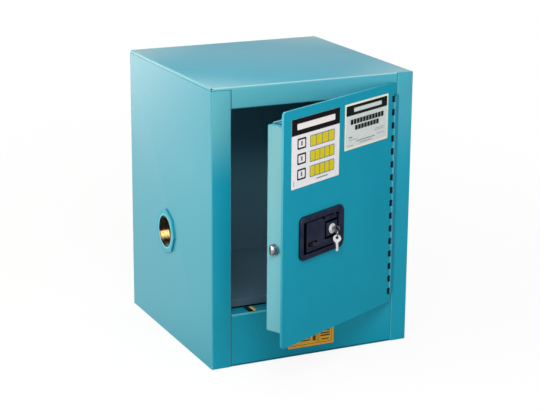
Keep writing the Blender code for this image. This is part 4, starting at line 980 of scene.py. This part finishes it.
# Studio: pale floor, white surround, soft lamps
studioLook = {
    "floorColor": (0.45, 0.45, 0.45), "floorSeenColor": (0.82, 0.82, 0.82), "floorSize": 14.0,
    "floorCells": 8, "floorDrop": 0.0004, "floorWhite": 0.90, "floorFade": (0.5, 2.2),
    # what shines back from the floor and the surround, brighter towards the rear
    "floorGlossFront": (0.03, 0.03, 0.03), "floorGlossBack": 0.95, "floorLean": -0.9,
    "floorReach": (-0.3, 0.5), "worldGlossFront": 0.12, "worldGlossBack": 1.0,
    "worldLean": -0.8, "worldReach": (-0.5, 0.5), "worldDiffuse": 0.30,
}
lampLooks = {
    "leftSoftbox": {"place": (-1.95, -0.25, 0.66), "aim": (0.0, -0.1, 0.25), "size": (1.2, 1.5),
                    "power": 28.0, "tint": (1.0, 0.98, 0.85)},
    "rearCard": {"place": (-1.25, 2.00, 0.55), "aim": (-0.2, 0.0, 0.30), "size": (1.6, 1.1),
                 "power": 26.0, "tint": (1.0, 0.98, 0.88)},
    "cornerLamp": {"place": (-0.55, -1.25, 1.35), "aim": (-0.1, -0.2, 0.40), "size": (0.7, 0.7),
                   "power": 17.0, "tint": (1.0, 1.0, 0.97)},
    "frontCard": {"place": (0.75, -1.95, 0.66), "aim": (0.0, -0.2, 0.45), "size": (1.7, 1.3),
                  "power": 14.0, "tint": (1.0, 1.0, 1.0)},
    "topFill": {"place": (0.20, 0.20, 2.40), "aim": (0.0, 0.0, 0.50), "size": (1.4, 1.4),
                "power": 13.5, "tint": (1.0, 0.97, 0.90)},
    "rightFill": {"place": (2.10, 1.10, 0.75), "aim": (0.1, 0.1, 0.25), "size": (1.3, 1.1),
                  "power": 12.0, "tint": (1.0, 0.99, 0.95)},
}


def rearward(tree, vector, lean):    # grows towards the back and away from the given side
    apart = apartXYZ(tree, vector)
    return combine(tree, "ADD", apart["Y"], product(tree, apart["X"], lean))


def buildFloor(values):
    finish, tree, shader = startFinish("paleFloor")
    tree.nodes.remove(shader)
    path = addNode(tree, "ShaderNodeLightPath").outputs
    shade = blendColor(tree, path["Is Camera Ray"], values["floorColor"], values["floorSeenColor"])
    shade = blendColor(tree, path["Is Glossy Ray"], shade, values["floorGlossFront"])
    matt = addNode(tree, "ShaderNodeBsdfDiffuse", {"Color": shade})
    white = addNode(tree, "ShaderNodeEmission", {"Color": (1, 1, 1, 1), "Strength": 1.0})
    spot = addNode(tree, "ShaderNodeTexCoord").outputs["Object"]
    far = addNode(tree, "ShaderNodeVectorMath", {0: spot}, operation="LENGTH").outputs["Value"]
    paleness = spread(tree, far, values["floorWhite"], 1.0, *values["floorFade"])
    seen = product(tree, path["Is Camera Ray"], paleness)
    gloss = ramp(tree, rearward(tree, spot, values["floorLean"]), *values["floorReach"], 0.0,
                 values["floorGlossBack"])
    mirrored = combine(tree, "MAXIMUM", path["Is Glossy Ray"], path["Is Transmission Ray"])
    amount = combine(tree, "MAXIMUM", seen, product(tree, mirrored, gloss))
    mix = addNode(tree, "ShaderNodeMixShader", {0: amount, 1: matt.outputs[0], 2: white.outputs[0]})
    tree.links.new(mix.outputs[0], tree.nodes["Material Output"].inputs["Surface"])
    bm = bmesh.new()
    bmesh.ops.create_grid(bm, x_segments=values["floorCells"], y_segments=values["floorCells"],
                          size=values["floorSize"] / 2)
    floor = linkPiece("studioFloor", meshFrom("studioFloor", bm))
    floor.data.materials.append(finish)
    floor.location = (0, 0, -values["floorDrop"])


def buildWorld(values):
    world = bpy.data.worlds.new("whiteStudio")
    bpy.context.scene.world = world
    world.use_nodes = True
    tree = world.node_tree
    back = tree.nodes["Background"]
    path = addNode(tree, "ShaderNodeLightPath").outputs
    ray = addNode(tree, "ShaderNodeTexCoord").outputs["Generated"]
    gloss = ramp(tree, rearward(tree, ray, values["worldLean"]), *values["worldReach"],
                 values["worldGlossFront"], values["worldGlossBack"])
    strength = combine(tree, "MAXIMUM", path["Is Camera Ray"], path["Is Transmission Ray"],
                       product(tree, path["Is Glossy Ray"], gloss), values["worldDiffuse"])
    tree.links.new(strength, back.inputs["Strength"])
    back.inputs["Color"].default_value = (1, 1, 1, 1)


def hangLamp(name, values):
    lamp = bpy.data.lights.new(name, "AREA")
    lamp.shape, lamp.size, lamp.size_y = "RECTANGLE", *values["size"]
    lamp.energy, lamp.color = values["power"], values["tint"]
    holder = linkPiece(name, lamp)
    holder.location = values["place"]
    aim = Vector(values["aim"]) - Vector(values["place"])
    holder.rotation_mode = "QUATERNION"
    holder.rotation_quaternion = aim.to_track_quat("-Z", "Y")
    holder.visible_camera = False


buildFloor(studioLook)
buildWorld(studioLook)
for lampName, values in lampLooks.items():
    hangLamp(lampName, values)
bpy.context.scene.view_settings.view_transform = "Standard"
print("studio lit")
